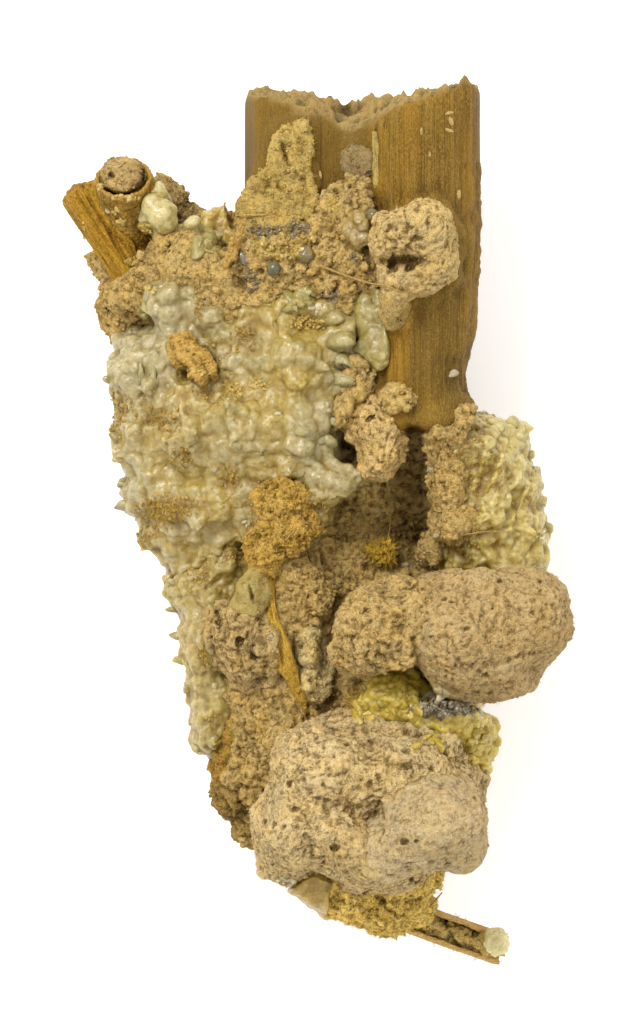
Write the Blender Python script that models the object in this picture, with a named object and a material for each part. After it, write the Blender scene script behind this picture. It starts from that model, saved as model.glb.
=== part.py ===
"""A gibbsite pseudomorph: a slab of old wood and a few plant stems, grown over by
crumbly earth, crystal crusts and rounded clods.

Metres, +Z up. The specimen lies on its trimmed back. X runs across it, Y along it
towards the broken end of the wood, and Z out of the face that is looked at. The
origin is on the surface it rests on, under the middle of its outline.

Places and sizes in the functions below are in millimetres: a centre is (x, y, z),
radii are (across, along, deep), and a turn is in degrees about Z.
"""

import math
import random

import bmesh
import bpy
from mathutils import Matrix, Vector, noise
from mathutils.bvhtree import BVHTree

MM = 0.001

# Driving dimensions of the whole specimen, in millimetres
WOOD_LEFT = -7.15
WOOD_RIGHT = 16.25
WOOD_FOOT = 10.2
WOOD_BACK = 12.6
WOOD_FACE = 21.2
STEM_RADIUS = 1.95
HOLLOW_STEM_RADIUS = 2.95
REED_RADIUS = 1.65
FIT_GAP = 0.3
LEAST_GAP = 0.12
SEAT_GAP = 0.5
MATRIX_SEAT_GAP = 0.72
SEAT_VOXEL = 0.45
FUSE_VOXEL = 0.45
CRYSTAL_VOXEL = 0.28

for old in list(bpy.data.objects):
    bpy.data.objects.remove(old, do_unlink=True)


# Materials


def linear(value):
    """One 8-bit colour value as linear light."""
    share = value / 255
    if share <= 0.04045:
        return share / 12.92
    return ((share + 0.055) / 1.055) ** 2.4


def finish(name, red, green, blue, roughness=0.9, metallic=0.0, alpha=1.0):
    material = bpy.data.materials.new(name)
    material.use_nodes = True
    shader = material.node_tree.nodes["Principled BSDF"]
    colour = (linear(red), linear(green), linear(blue), 1.0)
    shader.inputs["Base Color"].default_value = colour
    shader.inputs["Roughness"].default_value = roughness
    shader.inputs["Metallic"].default_value = metallic
    shader.inputs["Alpha"].default_value = alpha
    material.diffuse_color = colour
    return material


# Shapes that the pieces are made of


def lump(centre, radii, turn=0, rough=0.09, grain=1.5, detail=4, seed=0):
    """A stone-like ball. rough is the share of its radius that its bumps reach."""
    shape = bmesh.new()
    bmesh.ops.create_icosphere(shape, subdivisions=detail, radius=1.0)
    shift = Vector((seed * 7.13, seed * 3.71, seed * 5.37))
    size = Matrix.Diagonal((radii[0] * MM, radii[1] * MM, radii[2] * MM, 1.0))
    place = Matrix.Translation(Vector(centre) * MM) @ Matrix.Rotation(math.radians(turn), 4, "Z") @ size
    for vert in shape.verts:
        swell = noise.fractal(vert.co * grain + shift, 1.0, 2.0, 3)
        vert.co = place @ (vert.co * (1.0 + rough * swell))
    return shape


def crystal(foot, towards, length, width, sides=5, waist=0.5, seed=0):
    """A pointed crystal with flat faces. Its foot sinks into what it grows on."""
    chance = random.Random(seed)
    shape = bmesh.new()
    axis = Vector(towards).normalized()
    turn = axis.to_track_quat("Z", "Y").to_matrix()
    start = Vector(foot)
    twist = chance.uniform(0, math.tau)
    rings = []
    for height, girth in ((-0.35, 0.36), (waist, 0.5)):
        ring = []
        for side in range(sides):
            angle = twist + math.tau * side / sides
            reach = width * girth * chance.uniform(0.85, 1.12)
            rise = length * (height + chance.uniform(-0.08, 0.08))
            offset = Vector((reach * math.cos(angle), reach * math.sin(angle), rise))
            ring.append(shape.verts.new((start + turn @ offset) * MM))
        rings.append(ring)
    lean = width * 0.12
    tip_offset = Vector((chance.uniform(-lean, lean), chance.uniform(-lean, lean), length))
    tip = shape.verts.new((start + turn @ tip_offset) * MM)
    shape.faces.new(reversed(rings[0]))
    for side in range(sides):
        after = (side + 1) % sides
        shape.faces.new((rings[0][side], rings[0][after], rings[1][after], rings[1][side]))
        shape.faces.new((rings[1][side], rings[1][after], tip))
    return shape


def swept(rings):
    """A closed skin over rings of equally many points, in millimetres, capped at both ends."""
    shape = bmesh.new()
    loops = [[shape.verts.new(Vector(point) * MM) for point in ring] for ring in rings]
    count = len(rings[0])
    for here, beyond in zip(loops, loops[1:]):
        for side in range(count):
            after = (side + 1) % count
            shape.faces.new((here[side], here[after], beyond[after], beyond[side]))
    shape.faces.new(reversed(loops[0]))
    shape.faces.new(loops[-1])
    bmesh.ops.recalc_face_normals(shape, faces=shape.faces)
    bmesh.ops.triangulate(shape, faces=shape.faces)
    return shape


def ring_at(centre, axis, radius, sides, ribs=0.0, flat=1.0, twist=0.0):
    """Points of a ribbed ring about an axis, in millimetres. flat squeezes it one way."""
    turn = Vector(axis).normalized().to_track_quat("Z", "Y").to_matrix()
    points = []
    for side in range(sides):
        angle = twist + math.tau * side / sides
        reach = radius * (1.0 + ribs * (1 if side % 2 else -1))
        offset = Vector((reach * math.cos(angle), reach * flat * math.sin(angle), 0.0))
        points.append(Vector(centre) + turn @ offset)
    return points


def along(table, place):
    """The value at a place in a table of (place, value) steps, straight between them."""
    if place <= table[0][0]:
        return table[0][1]
    for (low, first), (high, second) in zip(table, table[1:]):
        if place <= high:
            return first + (second - first) * (place - low) / (high - low)
    return table[-1][1]


# Work on whole objects


def joined(name, shapes):
    """One object that holds the shapes, each still a closed skin of its own."""
    mesh = bpy.data.meshes.new(name)
    whole = bmesh.new()
    for shape in shapes:
        part = bpy.data.meshes.new(name + "_part")
        shape.to_mesh(part)
        shape.free()
        whole.from_mesh(part)
        bpy.data.meshes.remove(part)
    whole.to_mesh(mesh)
    whole.free()
    obj = bpy.data.objects.new(name, mesh)
    bpy.context.scene.collection.objects.link(obj)
    return obj


def baked(obj):
    """Applies the object's modifiers to its mesh."""
    graph = bpy.context.evaluated_depsgraph_get()
    mesh = bpy.data.meshes.new_from_object(obj.evaluated_get(graph))
    before = obj.data
    obj.modifiers.clear()
    obj.data = mesh
    mesh.name = obj.name
    bpy.data.meshes.remove(before)
    return obj


def is_closed(mesh):
    """Whether every edge has two faces on it."""
    uses = {}
    for face in mesh.polygons:
        for edge in face.edge_keys:
            uses[edge] = uses.get(edge, 0) + 1
    return all(count == 2 for count in uses.values())


def remeshed(obj, voxel):
    fuse = obj.modifiers.new("Fuse", "REMESH")
    fuse.mode = "VOXEL"
    fuse.voxel_size = voxel * MM
    return baked(obj)


def simplified(obj, triangles):
    """About this many triangles: the nearest higher count that leaves the surface closed."""
    obj.data.calc_loop_triangles()
    count = len(obj.data.loop_triangles)
    if count <= triangles:
        return obj
    thin = obj.modifiers.new("Simplify", "DECIMATE")
    thin.use_collapse_triangulate = True
    for target in range(triangles, count, 10):
        thin.ratio = target / count
        graph = bpy.context.evaluated_depsgraph_get()
        if is_closed(obj.evaluated_get(graph).data):
            break
    return baked(obj)


def fused(name, shapes, triangles, voxel=FUSE_VOXEL):
    """One solid grown together from overlapping shapes, to be seated with about these triangles."""
    body = simplified(remeshed(joined(name, shapes), voxel), triangles)
    body["triangles"] = triangles
    return body


def combined(obj, other, operation, own=False):
    """Applies a Boolean with another object, which is then removed."""
    whole = obj.data.copy()
    for solver in ("EXACT", "MANIFOLD"):
        change = obj.modifiers.new("Combine", "BOOLEAN")
        change.operation = operation
        change.solver = solver
        change.use_self = own
        change.object = other
        baked(obj)
        if is_closed(obj.data) or solver == "MANIFOLD":
            break
        obj.data = whole.copy()
    bpy.data.meshes.remove(whole)
    bpy.data.objects.remove(other, do_unlink=True)
    return obj


def encrusted(obj, crystals, triangles, voxel):
    """The object with crystals grown out of it, fused in one solid."""
    grown = joined(obj.name + "_crystals", crystals)
    whole = bmesh.new()
    for part in (obj, grown):
        whole.from_mesh(part.data)
    whole.to_mesh(obj.data)
    whole.free()
    bpy.data.objects.remove(grown, do_unlink=True)
    simplified(remeshed(obj, voxel), triangles)
    obj["triangles"] = triangles
    return obj


def sprinkled(obj, count, length, width, spacing, seed, lowest=-0.1, sides=5):
    """Crystals for a crust: spread over the faces that look out, not nearer than spacing."""
    chance = random.Random(seed)
    faces = [face for face in obj.data.polygons if face.normal.z > lowest]
    weights = [face.area for face in faces]
    feet = []
    shapes = []
    for _ in range(count * 12):
        face = chance.choices(faces, weights)[0]
        foot = face.center / MM
        if any((foot - other).length < spacing for other in feet):
            continue
        feet.append(foot)
        lean = Vector((chance.uniform(-0.35, 0.35), chance.uniform(-0.35, 0.35), 0.1))
        size = chance.uniform(0.7, 1.3)
        shapes.append(
            crystal(foot, face.normal + lean, length * size, width * size, sides, 0.45, seed + len(feet))
        )
        if len(feet) == count:
            break
    return shapes


def trimmed_flat(obj):
    """Takes off what lies below the surface that the specimen rests on."""
    table = bmesh.new()
    bmesh.ops.create_cube(table, size=120 * MM, matrix=Matrix.Translation((0, 0, -60 * MM)))
    return combined(obj, joined("table", [table]), "DIFFERENCE")


def swollen_copy(obj, gap):
    """A cutter that stands proud of the object by the gap all over."""
    shape = bmesh.new()
    shape.from_mesh(obj.data)
    shape.normal_update()
    moves = [vert.normal * gap * MM * min(vert.calc_shell_factor(), 2.0) for vert in shape.verts]
    for vert, move in zip(shape.verts, moves):
        vert.co += move
    mesh = bpy.data.meshes.new("cutter")
    shape.to_mesh(mesh)
    shape.free()
    cutter = bpy.data.objects.new("cutter", mesh)
    bpy.context.scene.collection.objects.link(cutter)
    return cutter


def seat_cutter(carriers, gap):
    """One cutter for the room that several carriers take up, with broad faces."""
    proud = [swollen_copy(carrier, gap) for carrier in carriers]
    whole = bmesh.new()
    for part in proud:
        whole.from_mesh(part.data)
        bpy.data.objects.remove(part, do_unlink=True)
    cutter = remeshed(joined("cutter", [whole]), SEAT_VOXEL)
    return simplified(cutter, 400 * len(carriers))


def corners(obj):
    points = [vert.co for vert in obj.data.vertices]
    low = Vector([min(point[axis] for point in points) for axis in range(3)])
    high = Vector([max(point[axis] for point in points) for axis in range(3)])
    return low, high


def boxes_meet(first, second):
    first_low, first_high = corners(first)
    second_low, second_high = corners(second)
    room = SEAT_GAP * MM
    return all(
        first_low[axis] < second_high[axis] + room and second_low[axis] < first_high[axis] + room
        for axis in range(3)
    )


def keep_largest(obj):
    """Drops the chips that a cut has left beside the main body."""
    shape = bmesh.new()
    shape.from_mesh(obj.data)
    bmesh.ops.remove_doubles(shape, verts=shape.verts, dist=1e-7)
    unseen = set(shape.faces)
    islands = []
    while unseen:
        front = [unseen.pop()]
        island = set(front)
        while front:
            for edge in front.pop().edges:
                for other in edge.link_faces:
                    if other in unseen:
                        unseen.discard(other)
                        island.add(other)
                        front.append(other)
        islands.append(island)
    largest = max(islands, key=len)
    stray = [face for face in shape.faces if face not in largest]
    bmesh.ops.delete(shape, geom=stray, context="FACES")
    shape.to_mesh(obj.data)
    shape.free()


def tree_of(obj):
    points = [vert.co for vert in obj.data.vertices]
    return BVHTree.FromPolygons(points, [face.vertices[:] for face in obj.data.polygons])


def too_near(piece, carrier):
    """Whether the piece comes closer to the carrier than the least gap."""
    proud = swollen_copy(carrier, LEAST_GAP)
    meet = tree_of(piece).overlap(tree_of(proud))
    bpy.data.objects.remove(proud, do_unlink=True)
    return bool(meet)


def seated(piece, carriers):
    """Cuts each carrier's room out of the piece, so that the piece sits against it."""
    near = [carrier for carrier in carriers if boxes_meet(piece, carrier)]
    if near and not piece.get("snug"):
        combined(piece, seat_cutter(near, piece.get("seat_gap", SEAT_GAP)), "DIFFERENCE")
        keep_largest(piece)
    whole = piece.data
    goal = piece.get("triangles", 0) or len(whole.polygons)
    for more in range(0, 300, 20):
        piece.data = whole.copy()
        simplified(piece, goal + more)
        for carrier in near:
            if too_near(piece, carrier):
                combined(piece, swollen_copy(carrier, FIT_GAP), "DIFFERENCE", own=True)
        if piece.get("rests"):
            trimmed_flat(piece)
        keep_largest(piece)
        if is_closed(piece.data):
            break
    bpy.data.meshes.remove(whole)
    piece.data.name = piece.name
    return piece


# Wood and stems


def torn_cap(shape, front, back, ragged, chance):
    """Closes a split end with a row of torn points between its front and back edges."""
    last = len(front) - 1
    middle = {}
    for column in range(1, last):
        point = (front[column].co + back[column].co) / 2
        point.y += chance.uniform(-ragged, ragged) * MM
        middle[column] = shape.verts.new(point)
    for edge in (front, back):
        for column in range(1, last - 1):
            shape.faces.new((edge[column], edge[column + 1], middle[column + 1], middle[column]))
        shape.faces.new((edge[0], edge[1], middle[1]))
        shape.faces.new((edge[last], edge[last - 1], middle[last - 1]))
    shape.faces.new((front[0], back[0], middle[1]))
    shape.faces.new((front[last], back[last], middle[last - 1]))


def wood_slab():
    """A slab split along the grain: ribbed and proud at the right, flat at the left."""
    columns = 25
    stations = (0.0, 0.14, 0.3, 0.52, 0.78, 1.0)
    front_edge = (
        (-7.0, 43.1), (-5.2, 42.9), (-2.6, 42.0), (0.7, 41.0), (2.4, 39.4), (4.2, 39.5),
        (5.5, 40.4), (8.2, 41.9), (11.7, 42.8), (15.2, 44.2), (16.2, 43.6),
    )
    back_edge = (
        (-7.0, 43.2), (-4.9, 44.1), (-2.9, 43.7), (0.3, 42.9), (1.8, 42.6), (3.6, 41.8), (4.2, 42.8),
        (6.0, 43.6), (7.3, 43.6), (9.5, 43.1), (11.7, 43.8), (12.4, 43.1), (16.2, 43.9),
    )
    right_inset = (
        (10.0, 1.0), (12.0, 0.9), (14.5, 1.45), (16.7, 1.3), (18.7, 0.5), (22.0, 0.45), (25.7, 0.1), (26.5, 0.0),
    )
    ribs_start = 6.1
    relief = (
        (-7.2, -4.2), (-6.4, -0.6), (-5.4, 0.3), (-2.5, 0.1), (2.0, -0.3), (5.4, -0.1), (ribs_start, 0.2),
        (7.0, 2.2), (9.0, 2.9), (12.0, 3.1), (14.6, 2.4), (15.6, 1.2), (16.3, -1.6),
    )

    def placed(column, station, edge, height):
        x = WOOD_LEFT + (WOOD_RIGHT - WOOD_LEFT) * column / (columns - 1)
        y = WOOD_FOOT + station * (along(edge, x) - WOOD_FOOT)
        inset = along(right_inset, y) * max(0.0, (x - 10.0) / (WOOD_RIGHT - 10.0))
        return Vector((x - inset, y, height(x, column))) * MM

    def face(x, column):
        rib = 0.22 if x > ribs_start else 0.1
        return WOOD_FACE + along(relief, x) + rib * (1 if column % 2 else -1)

    def back(x, column):
        return WOOD_BACK + 0.5 * math.sin(x * 0.4)

    shape = bmesh.new()
    fronts = []
    backs = []
    for station in stations:
        fronts.append([shape.verts.new(placed(c, station, front_edge, face)) for c in range(columns)])
        backs.append([shape.verts.new(placed(c, station, back_edge, back)) for c in range(columns)])
    for rows in (fronts, backs):
        for here, beyond in zip(rows, rows[1:]):
            for column in range(columns - 1):
                shape.faces.new((here[column], here[column + 1], beyond[column + 1], beyond[column]))
    for column in (0, columns - 1):
        for station in range(len(stations) - 1):
            shape.faces.new((
                fronts[station][column], fronts[station + 1][column],
                backs[station + 1][column], backs[station][column],
            ))
    chance = random.Random(3)
    torn_cap(shape, fronts[0], backs[0], 0.2, chance)
    torn_cap(shape, fronts[-1], backs[-1], 0.6, chance)
    bmesh.ops.recalc_face_normals(shape, faces=shape.faces)
    bmesh.ops.triangulate(shape, faces=shape.faces)
    wood = joined("wood_slab", [shape])
    wood.data.materials.append(finish("old_wood", 146, 114, 50, 0.75))
    return wood


def stem(name, end, axis, steps, sides, ribs, flat=1.0):
    """A stem skinned over rings: steps are (distance from its end, radius)."""
    axis = Vector(axis).normalized()
    rings = []
    for distance, radius in steps:
        place = Vector(end) - axis * distance
        rings.append(ring_at(place, axis, radius, sides, ribs, flat))
    return joined(name, [swept(rings)])


def stem_stub():
    """A short ribbed stem that ends at the upper left."""
    steps = ((-0.6, 0.7), (-0.2, 1.6), (0.3, 2.0), (4.0, STEM_RADIUS), (8.0, STEM_RADIUS), (12.5, 2.1))
    stub = stem("stem_stub", (-23.75, 33.4, 17.2), (-0.53, 0.85, 0.16), steps, 12, 0.05, 0.9)
    stub.data.materials.append(finish("stem_bark", 150, 116, 52, 0.75))
    return stub


MOUTH = Vector((-19.15, 34.7, 20.0))
MOUTH_AXIS = Vector((-0.08, 0.67, 0.73)).normalized()


def hollow_stem():
    """A round stem seen into its open end: its wall, its rim and the floor of the hollow."""
    steps = ((11.0, 2.2), (5.5, 2.5), (1.5, 2.8), (0.0, HOLLOW_STEM_RADIUS), (-0.05, 2.5), (1.2, 2.4), (1.6, 2.2))
    hollow = stem("hollow_stem", MOUTH, MOUTH_AXIS, steps, 14, 0.02)
    hollow.data.materials.append(finish("stem_wall", 128, 96, 46, 0.85))
    return hollow


def earth_plug():
    """The earth in the open stem, leaving a dark gap at one side."""
    steps = ((1.15, 1.5), (0.6, 1.75), (0.1, 1.8), (-0.25, 1.4), (-0.4, 0.6))
    middle = MOUTH + Vector((-0.16, 0.02, 0.0))
    plug = stem("earth_plug", middle, MOUTH_AXIS, steps, 10, 0.03)
    plug["snug"] = True
    plug.data.materials.append(finish("grey_earth", 150, 126, 88))
    return plug


def splinter(name, start, end, width, depth, tint):
    """A flat sliver of wood, thinner at its far end."""
    axis = Vector(end) - Vector(start)
    rings = []
    for share, girth in ((0.0, 0.8), (0.12, 1.0), (0.7, 0.9), (1.0, 0.45)):
        place = Vector(start) + axis * share
        side = axis.cross(Vector((0, 0, 1))).normalized() * width / 2 * girth
        lift = side.cross(axis).normalized() * depth / 2 * girth
        rings.append([place - side, place - side * 0.5 + lift, place + side * 0.6 + lift,
                      place + side, place - lift])
    sliver = joined(name, [swept(rings)])
    sliver.data.materials.append(finish(name + "_fibre", *tint, 0.7))
    return sliver


def straw_splinter():
    return splinter("straw_splinter", (-9.1, 25.6, 22.4), (-6.95, 30.45, 25.2), 1.05, 0.7, (180, 140, 66))


def bark_splinter():
    return splinter("bark_splinter", (5.8, 33.6, 22.5), (5.7, 39.0, 22.3), 0.55, 0.6, (178, 146, 70))


# Clods, which are rounded balls of earth


def clod(name, lumps, triangles, tint, rough=0.09, grain=1.7, voxel=FUSE_VOXEL):
    """One clod fused from lumps, each (centre, radii, turn)."""
    shapes = [
        lump(centre, radii, turn, rough, grain, 4, seed)
        for seed, (centre, radii, turn) in enumerate(lumps, start=len(name))
    ]
    body = fused(name, shapes, triangles, voxel)
    body.data.materials.append(finish(name + "_earth", *tint))
    return body


def clod_upper():
    return clod("clod_upper", (
        ((10.85, 29.2, 26.6), (3.0, 3.0, 3.4), 0),
        ((7.6, 28.6, 26.6), (2.2, 2.6, 2.9), 10),
        ((8.9, 24.2, 25.6), (3.3, 1.8, 2.6), -8),
        ((12.3, 26.2, 25.8), (1.7, 2.6, 2.6), 0),
    ), 300, (182, 154, 98), 0.1)


def crumb_below_clod():
    return clod("crumb_below_clod", (
        ((7.5, 21.4, 24.9), (1.1, 1.7, 1.2), 0),
    ), 60, (166, 136, 80), 0.12, voxel=0.3)


def wood_pebble():
    return clod("wood_pebble", (
        ((4.05, 36.1, 21.7), (1.25, 1.25, 1.25), 0),
    ), 80, (170, 136, 84), 0.05, voxel=0.25)


def clod_right():
    return clod("clod_right", (
        ((13.9, -10.9, 25.6), (4.6, 5.7, 6.2), 12),
        ((20.2, -8.7, 24.2), (5.2, 5.2, 6.2), 10),
        ((17.6, -13.0, 23.2), (5.2, 4.5, 5.8), 20),
        ((13.0, -6.4, 23.6), (3.2, 2.3, 3.6), 10),
    ), 380, (184, 155, 103), 0.08)


def clod_right_small():
    return clod("clod_right_small", (
        ((5.6, -9.9, 24.4), (4.0, 4.6, 5.2), -10),
        ((7.9, -6.9, 23.4), (2.6, 2.4, 3.8), 20),
        ((4.2, -12.3, 22.6), (3.0, 2.6, 4.0), 0),
    ), 260, (178, 149, 94), 0.12, 2.2)


def pale_lobe():
    return clod("pale_lobe", (
        ((11.4, -29.4, 25.4), (5.6, 4.3, 5.4), 25),
        ((7.6, -31.6, 24.6), (3.6, 3.2, 4.4), 0),
        ((14.2, -31.6, 22.4), (2.8, 3.0, 4.6), 0),
    ), 280, (188, 162, 112), 0.07)


def small_lobe():
    return clod("small_lobe", (
        ((3.0, -31.2, 25.2), (2.1, 2.6, 2.9), 10),
        ((5.2, -33.6, 24.4), (2.0, 1.8, 2.6), 0),
    ), 120, (176, 148, 96), 0.1, voxel=0.35)


def clod_bottom():
    return clod("clod_bottom", (
        ((1.4, -24.3, 20.6), (6.2, 5.0, 7.2), -10),
        ((-1.9, -29.3, 18.8), (4.6, 5.4, 7.0), -15),
        ((8.4, -24.0, 19.8), (6.4, 4.4, 6.8), 0),
        ((-3.2, -32.6, 15.6), (3.0, 3.0, 5.4), 0),
        ((13.6, -27.8, 16.2), (3.6, 5.6, 6.4), 0),
        ((5.6, -31.6, 18.2), (7.0, 4.6, 6.4), 0),
        ((3.4, -20.6, 18.6), (3.4, 2.2, 4.6), 15),
    ), 540, (184, 155, 100), 0.11, 2.4)


def clod_middle():
    return clod("clod_middle", (
        ((5.6, 9.9, 22.0), (2.4, 3.0, 3.6), 0),
        ((6.3, 7.0, 21.8), (2.2, 2.9, 3.4), -12),
        ((7.6, 8.2, 21.0), (1.1, 1.6, 2.2), 20),
    ), 200, (184, 154, 98), 0.08, voxel=0.35)


def rough_nodule():
    return clod("rough_nodule", (
        ((-7.6, -10.4, 19.2), (3.0, 2.6, 3.6), 10),
        ((-6.7, -13.2, 18.6), (2.9, 2.6, 3.4), 0),
        ((-5.2, -11.2, 19.4), (1.9, 2.3, 2.9), 0),
    ), 220, (150, 124, 78), 0.17, 2.6, 0.35)


def tan_pebble():
    return clod("tan_pebble", (
        ((-6.65, -6.5, 21.6), (1.5, 1.9, 1.7), 0),
    ), 90, (190, 158, 86), 0.06, 1.2, 0.3)


def earth_ridge():
    return clod("earth_ridge", (
        ((-15.5, 34.2, 14.6), (1.3, 1.2, 1.9), 0),
        ((-14.2, 33.0, 14.2), (1.3, 1.5, 2.1), 0),
        ((-12.6, 31.1, 13.4), (1.3, 1.3, 1.9), 0),
        ((-14.0, 30.4, 12.4), (2.4, 2.2, 2.6), 0),
    ), 170, (132, 108, 64), 0.13, 2.2, 0.35)


def grey_ridge():
    return clod("grey_ridge", (
        ((-0.5, -12.2, 18.4), (1.0, 2.0, 2.2), 0),
        ((-0.3, -15.0, 17.2), (1.0, 2.0, 2.2), 0),
        ((0.0, -13.6, 16.4), (1.2, 2.4, 2.0), 0),
    ), 130, (166, 146, 100), 0.16, 2.6, 0.3)


def orange_ridge():
    return clod("orange_ridge", (
        ((-8.2, -19.6, 12.6), (1.3, 3.0, 2.6), 8),
        ((-8.4, -23.6, 11.4), (1.6, 3.2, 3.0), -5),
    ), 130, (158, 120, 52), 0.12, 2.2, 0.35)


def foot_lump():
    return clod("foot_lump", (
        ((-8.3, -27.0, 9.4), (2.4, 2.6, 4.2), 0),
        ((-6.6, -29.0, 8.6), (2.2, 2.2, 3.6), 0),
    ), 130, (150, 120, 68), 0.13, 2.2, 0.35)


def orange_crumb():
    return clod("orange_crumb", (
        ((-3.4, 2.6, 23.0), (2.2, 1.9, 1.7), 0),
        ((-2.6, -0.4, 22.0), (2.6, 2.4, 2.2), 0),
        ((-5.0, -2.6, 20.8), (2.0, 1.8, 2.0), 0),
    ), 170, (165, 130, 53), 0.16, 2.8, 0.35)


def wood_crust():
    """The yellow crust sheet that clings to the flat half of the wood."""
    crust = clod("wood_crust", (
        ((-3.0, 36.6, 21.7), (1.7, 3.0, 0.9), -8),
        ((-1.6, 37.6, 21.6), (0.8, 2.6, 0.9), 0),
        ((-4.6, 32.6, 21.8), (2.2, 3.2, 1.0), -30),
        ((-2.2, 32.9, 21.8), (1.7, 2.8, 1.1), 0),
        ((-6.6, 30.4, 20.6), (1.5, 2.2, 1.6), -20),
        ((-3.2, 29.8, 22.0), (3.0, 1.7, 1.3), 0),
    ), 200, (182, 152, 82), 0.1, 2.4, 0.3)
    return crust


# Crystal crusts and single crystals


def crystal_finish(name, red, green, blue):
    return finish(name, red, green, blue, 0.35, alpha=1.0)


def crust_main():
    """The large crust on the left, with pointed crystals and one large rounded one."""
    lumps = (
        ((-2.4, 16.2, 19.8), (4.9, 4.4, 6.0), 0),
        ((-2.0, 9.8, 19.6), (4.5, 5.4, 5.8), 0),
        ((-6.8, 9.6, 18.8), (5.0, 6.0, 6.0), 0),
        ((-11.9, 9.6, 16.6), (5.2, 5.4, 6.2), 0),
        ((-16.2, 15.2, 14.6), (4.9, 4.8, 6.0), 0),
        ((-16.3, 8.8, 13.8), (4.5, 4.2, 5.8), 0),
        ((-15.8, 3.6, 13.4), (4.0, 3.8, 5.6), 0),
        ((-10.6, 2.0, 16.0), (6.2, 4.2, 5.6), 0),
        ((-13.4, -0.9, 13.4), (4.8, 3.3, 4.8), -32),
        ((-3.4, 2.6, 17.6), (5.0, 4.6, 5.4), 0),
        ((1.5, 4.2, 20.0), (2.0, 2.0, 3.0), 0),
    )
    shapes = [lump(centre, radii, turn, 0.08, 2.0, 4, seed) for seed, (centre, radii, turn) in enumerate(lumps)]
    crust = fused("crust_main", shapes, 430, 0.5)
    grown = [
        crystal((1.4, 17.0, 22.0), (1.0, 0.15, 0.25), 2.5, 2.6, 5, 0.45, 1),
        crystal((1.5, 14.6, 21.8), (1.0, -0.1, 0.2), 2.4, 2.6, 5, 0.45, 2),
        crystal((0.7, 12.2, 22.4), (1.0, 0.05, 0.4), 2.3, 2.6, 5, 0.45, 3),
        crystal((-3.9, 19.2, 23.4), (-0.05, 0.8, 0.6), 2.5, 2.6, 5, 0.5, 4),
        crystal((-0.9, 20.0, 21.6), (0.3, 1.0, 0.35), 2.0, 2.2, 5, 0.5, 5),
        crystal((1.5, 4.2, 22.2), (0.35, 0.05, 1.0), 2.6, 4.6, 7, 0.62, 6),
        crystal((-19.4, 8.6, 13.4), (-1.0, 0.05, 0.2), 2.0, 2.0, 5, 0.45, 7),
        crystal((-18.6, 4.2, 13.4), (-1.0, -0.1, 0.2), 2.0, 2.0, 5, 0.45, 8),
        crystal((-18.2, 1.6, 12.4), (-1.0, -0.3, 0.0), 2.0, 2.0, 5, 0.4, 9),
        crystal((-19.6, 16.4, 14.0), (-1.0, 0.1, 0.2), 2.0, 2.2, 5, 0.5, 10),
        crystal((-19.6, 12.6, 14.0), (-1.0, -0.1, 0.3), 2.0, 2.2, 5, 0.5, 11),
        crystal((-13.2, 19.0, 19.0), (-0.1, 0.7, 0.7), 2.6, 3.0, 6, 0.5, 12),
        crystal((-15.0, 16.8, 18.8), (-0.4, 0.5, 0.8), 2.4, 3.2, 6, 0.5, 13),
        crystal((-13.9, 13.4, 20.2), (0.05, 0.5, 0.9), 2.6, 1.5, 5, 0.6, 14),
        crystal((-12.4, 13.6, 20.6), (0.1, 0.5, 0.9), 2.6, 1.3, 5, 0.6, 15),
    ]
    grown += sprinkled(crust, 46, 1.7, 2.1, 2.0, 21, -0.15)
    encrusted(crust, grown, 900, CRYSTAL_VOXEL)
    crust.data.materials.append(crystal_finish("yellow_crystal", 188, 166, 106))
    return crust


def crust_lower_left():
    """The pale yellow crust down the left edge, with spikes that stand out of the outline."""
    lumps = (
        ((-11.6, -6.4, 12.6), (3.0, 4.2, 5.6), 0),
        ((-11.2, -12.2, 12.6), (2.6, 4.8, 5.6), 0),
        ((-10.6, -18.2, 11.4), (2.2, 4.4, 5.0), 0),
        ((-11.2, -21.4, 10.2), (2.0, 2.0, 3.6), 0),
        ((-9.2, -3.8, 15.4), (2.6, 2.8, 3.6), 0),
        ((-9.6, -9.0, 15.6), (2.2, 3.2, 3.2), 0),
    )
    shapes = [lump(centre, radii, turn, 0.09, 2.2, 4, seed) for seed, (centre, radii, turn) in enumerate(lumps, 40)]
    crust = fused("crust_lower_left", shapes, 260, 0.45)
    grown = [
        crystal((-13.2, -4.6, 12.4), (-1.0, 0.15, 0.1), 1.8, 1.8, 5, 0.4, 41),
        crystal((-13.4, -7.6, 12.2), (-1.0, -0.05, 0.15), 1.9, 2.0, 5, 0.4, 42),
        crystal((-13.0, -10.6, 12.2), (-1.0, -0.1, 0.1), 1.8, 2.2, 5, 0.4, 43),
        crystal((-12.8, -13.4, 12.4), (-1.0, 0.05, 0.2), 1.5, 2.2, 5, 0.4, 44),
        crystal((-12.2, -16.2, 11.6), (-1.0, 0.0, 0.2), 1.4, 2.0, 5, 0.4, 45),
        crystal((-11.6, -20.6, 11.0), (-0.8, -0.5, 0.2), 1.6, 2.0, 5, 0.4, 46),
    ]
    grown += sprinkled(crust, 24, 1.4, 1.8, 1.9, 52, -0.1)
    encrusted(crust, grown, 450, CRYSTAL_VOXEL)
    crust.data.materials.append(crystal_finish("pale_yellow_crystal", 184, 162, 100))
    return crust


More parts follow.
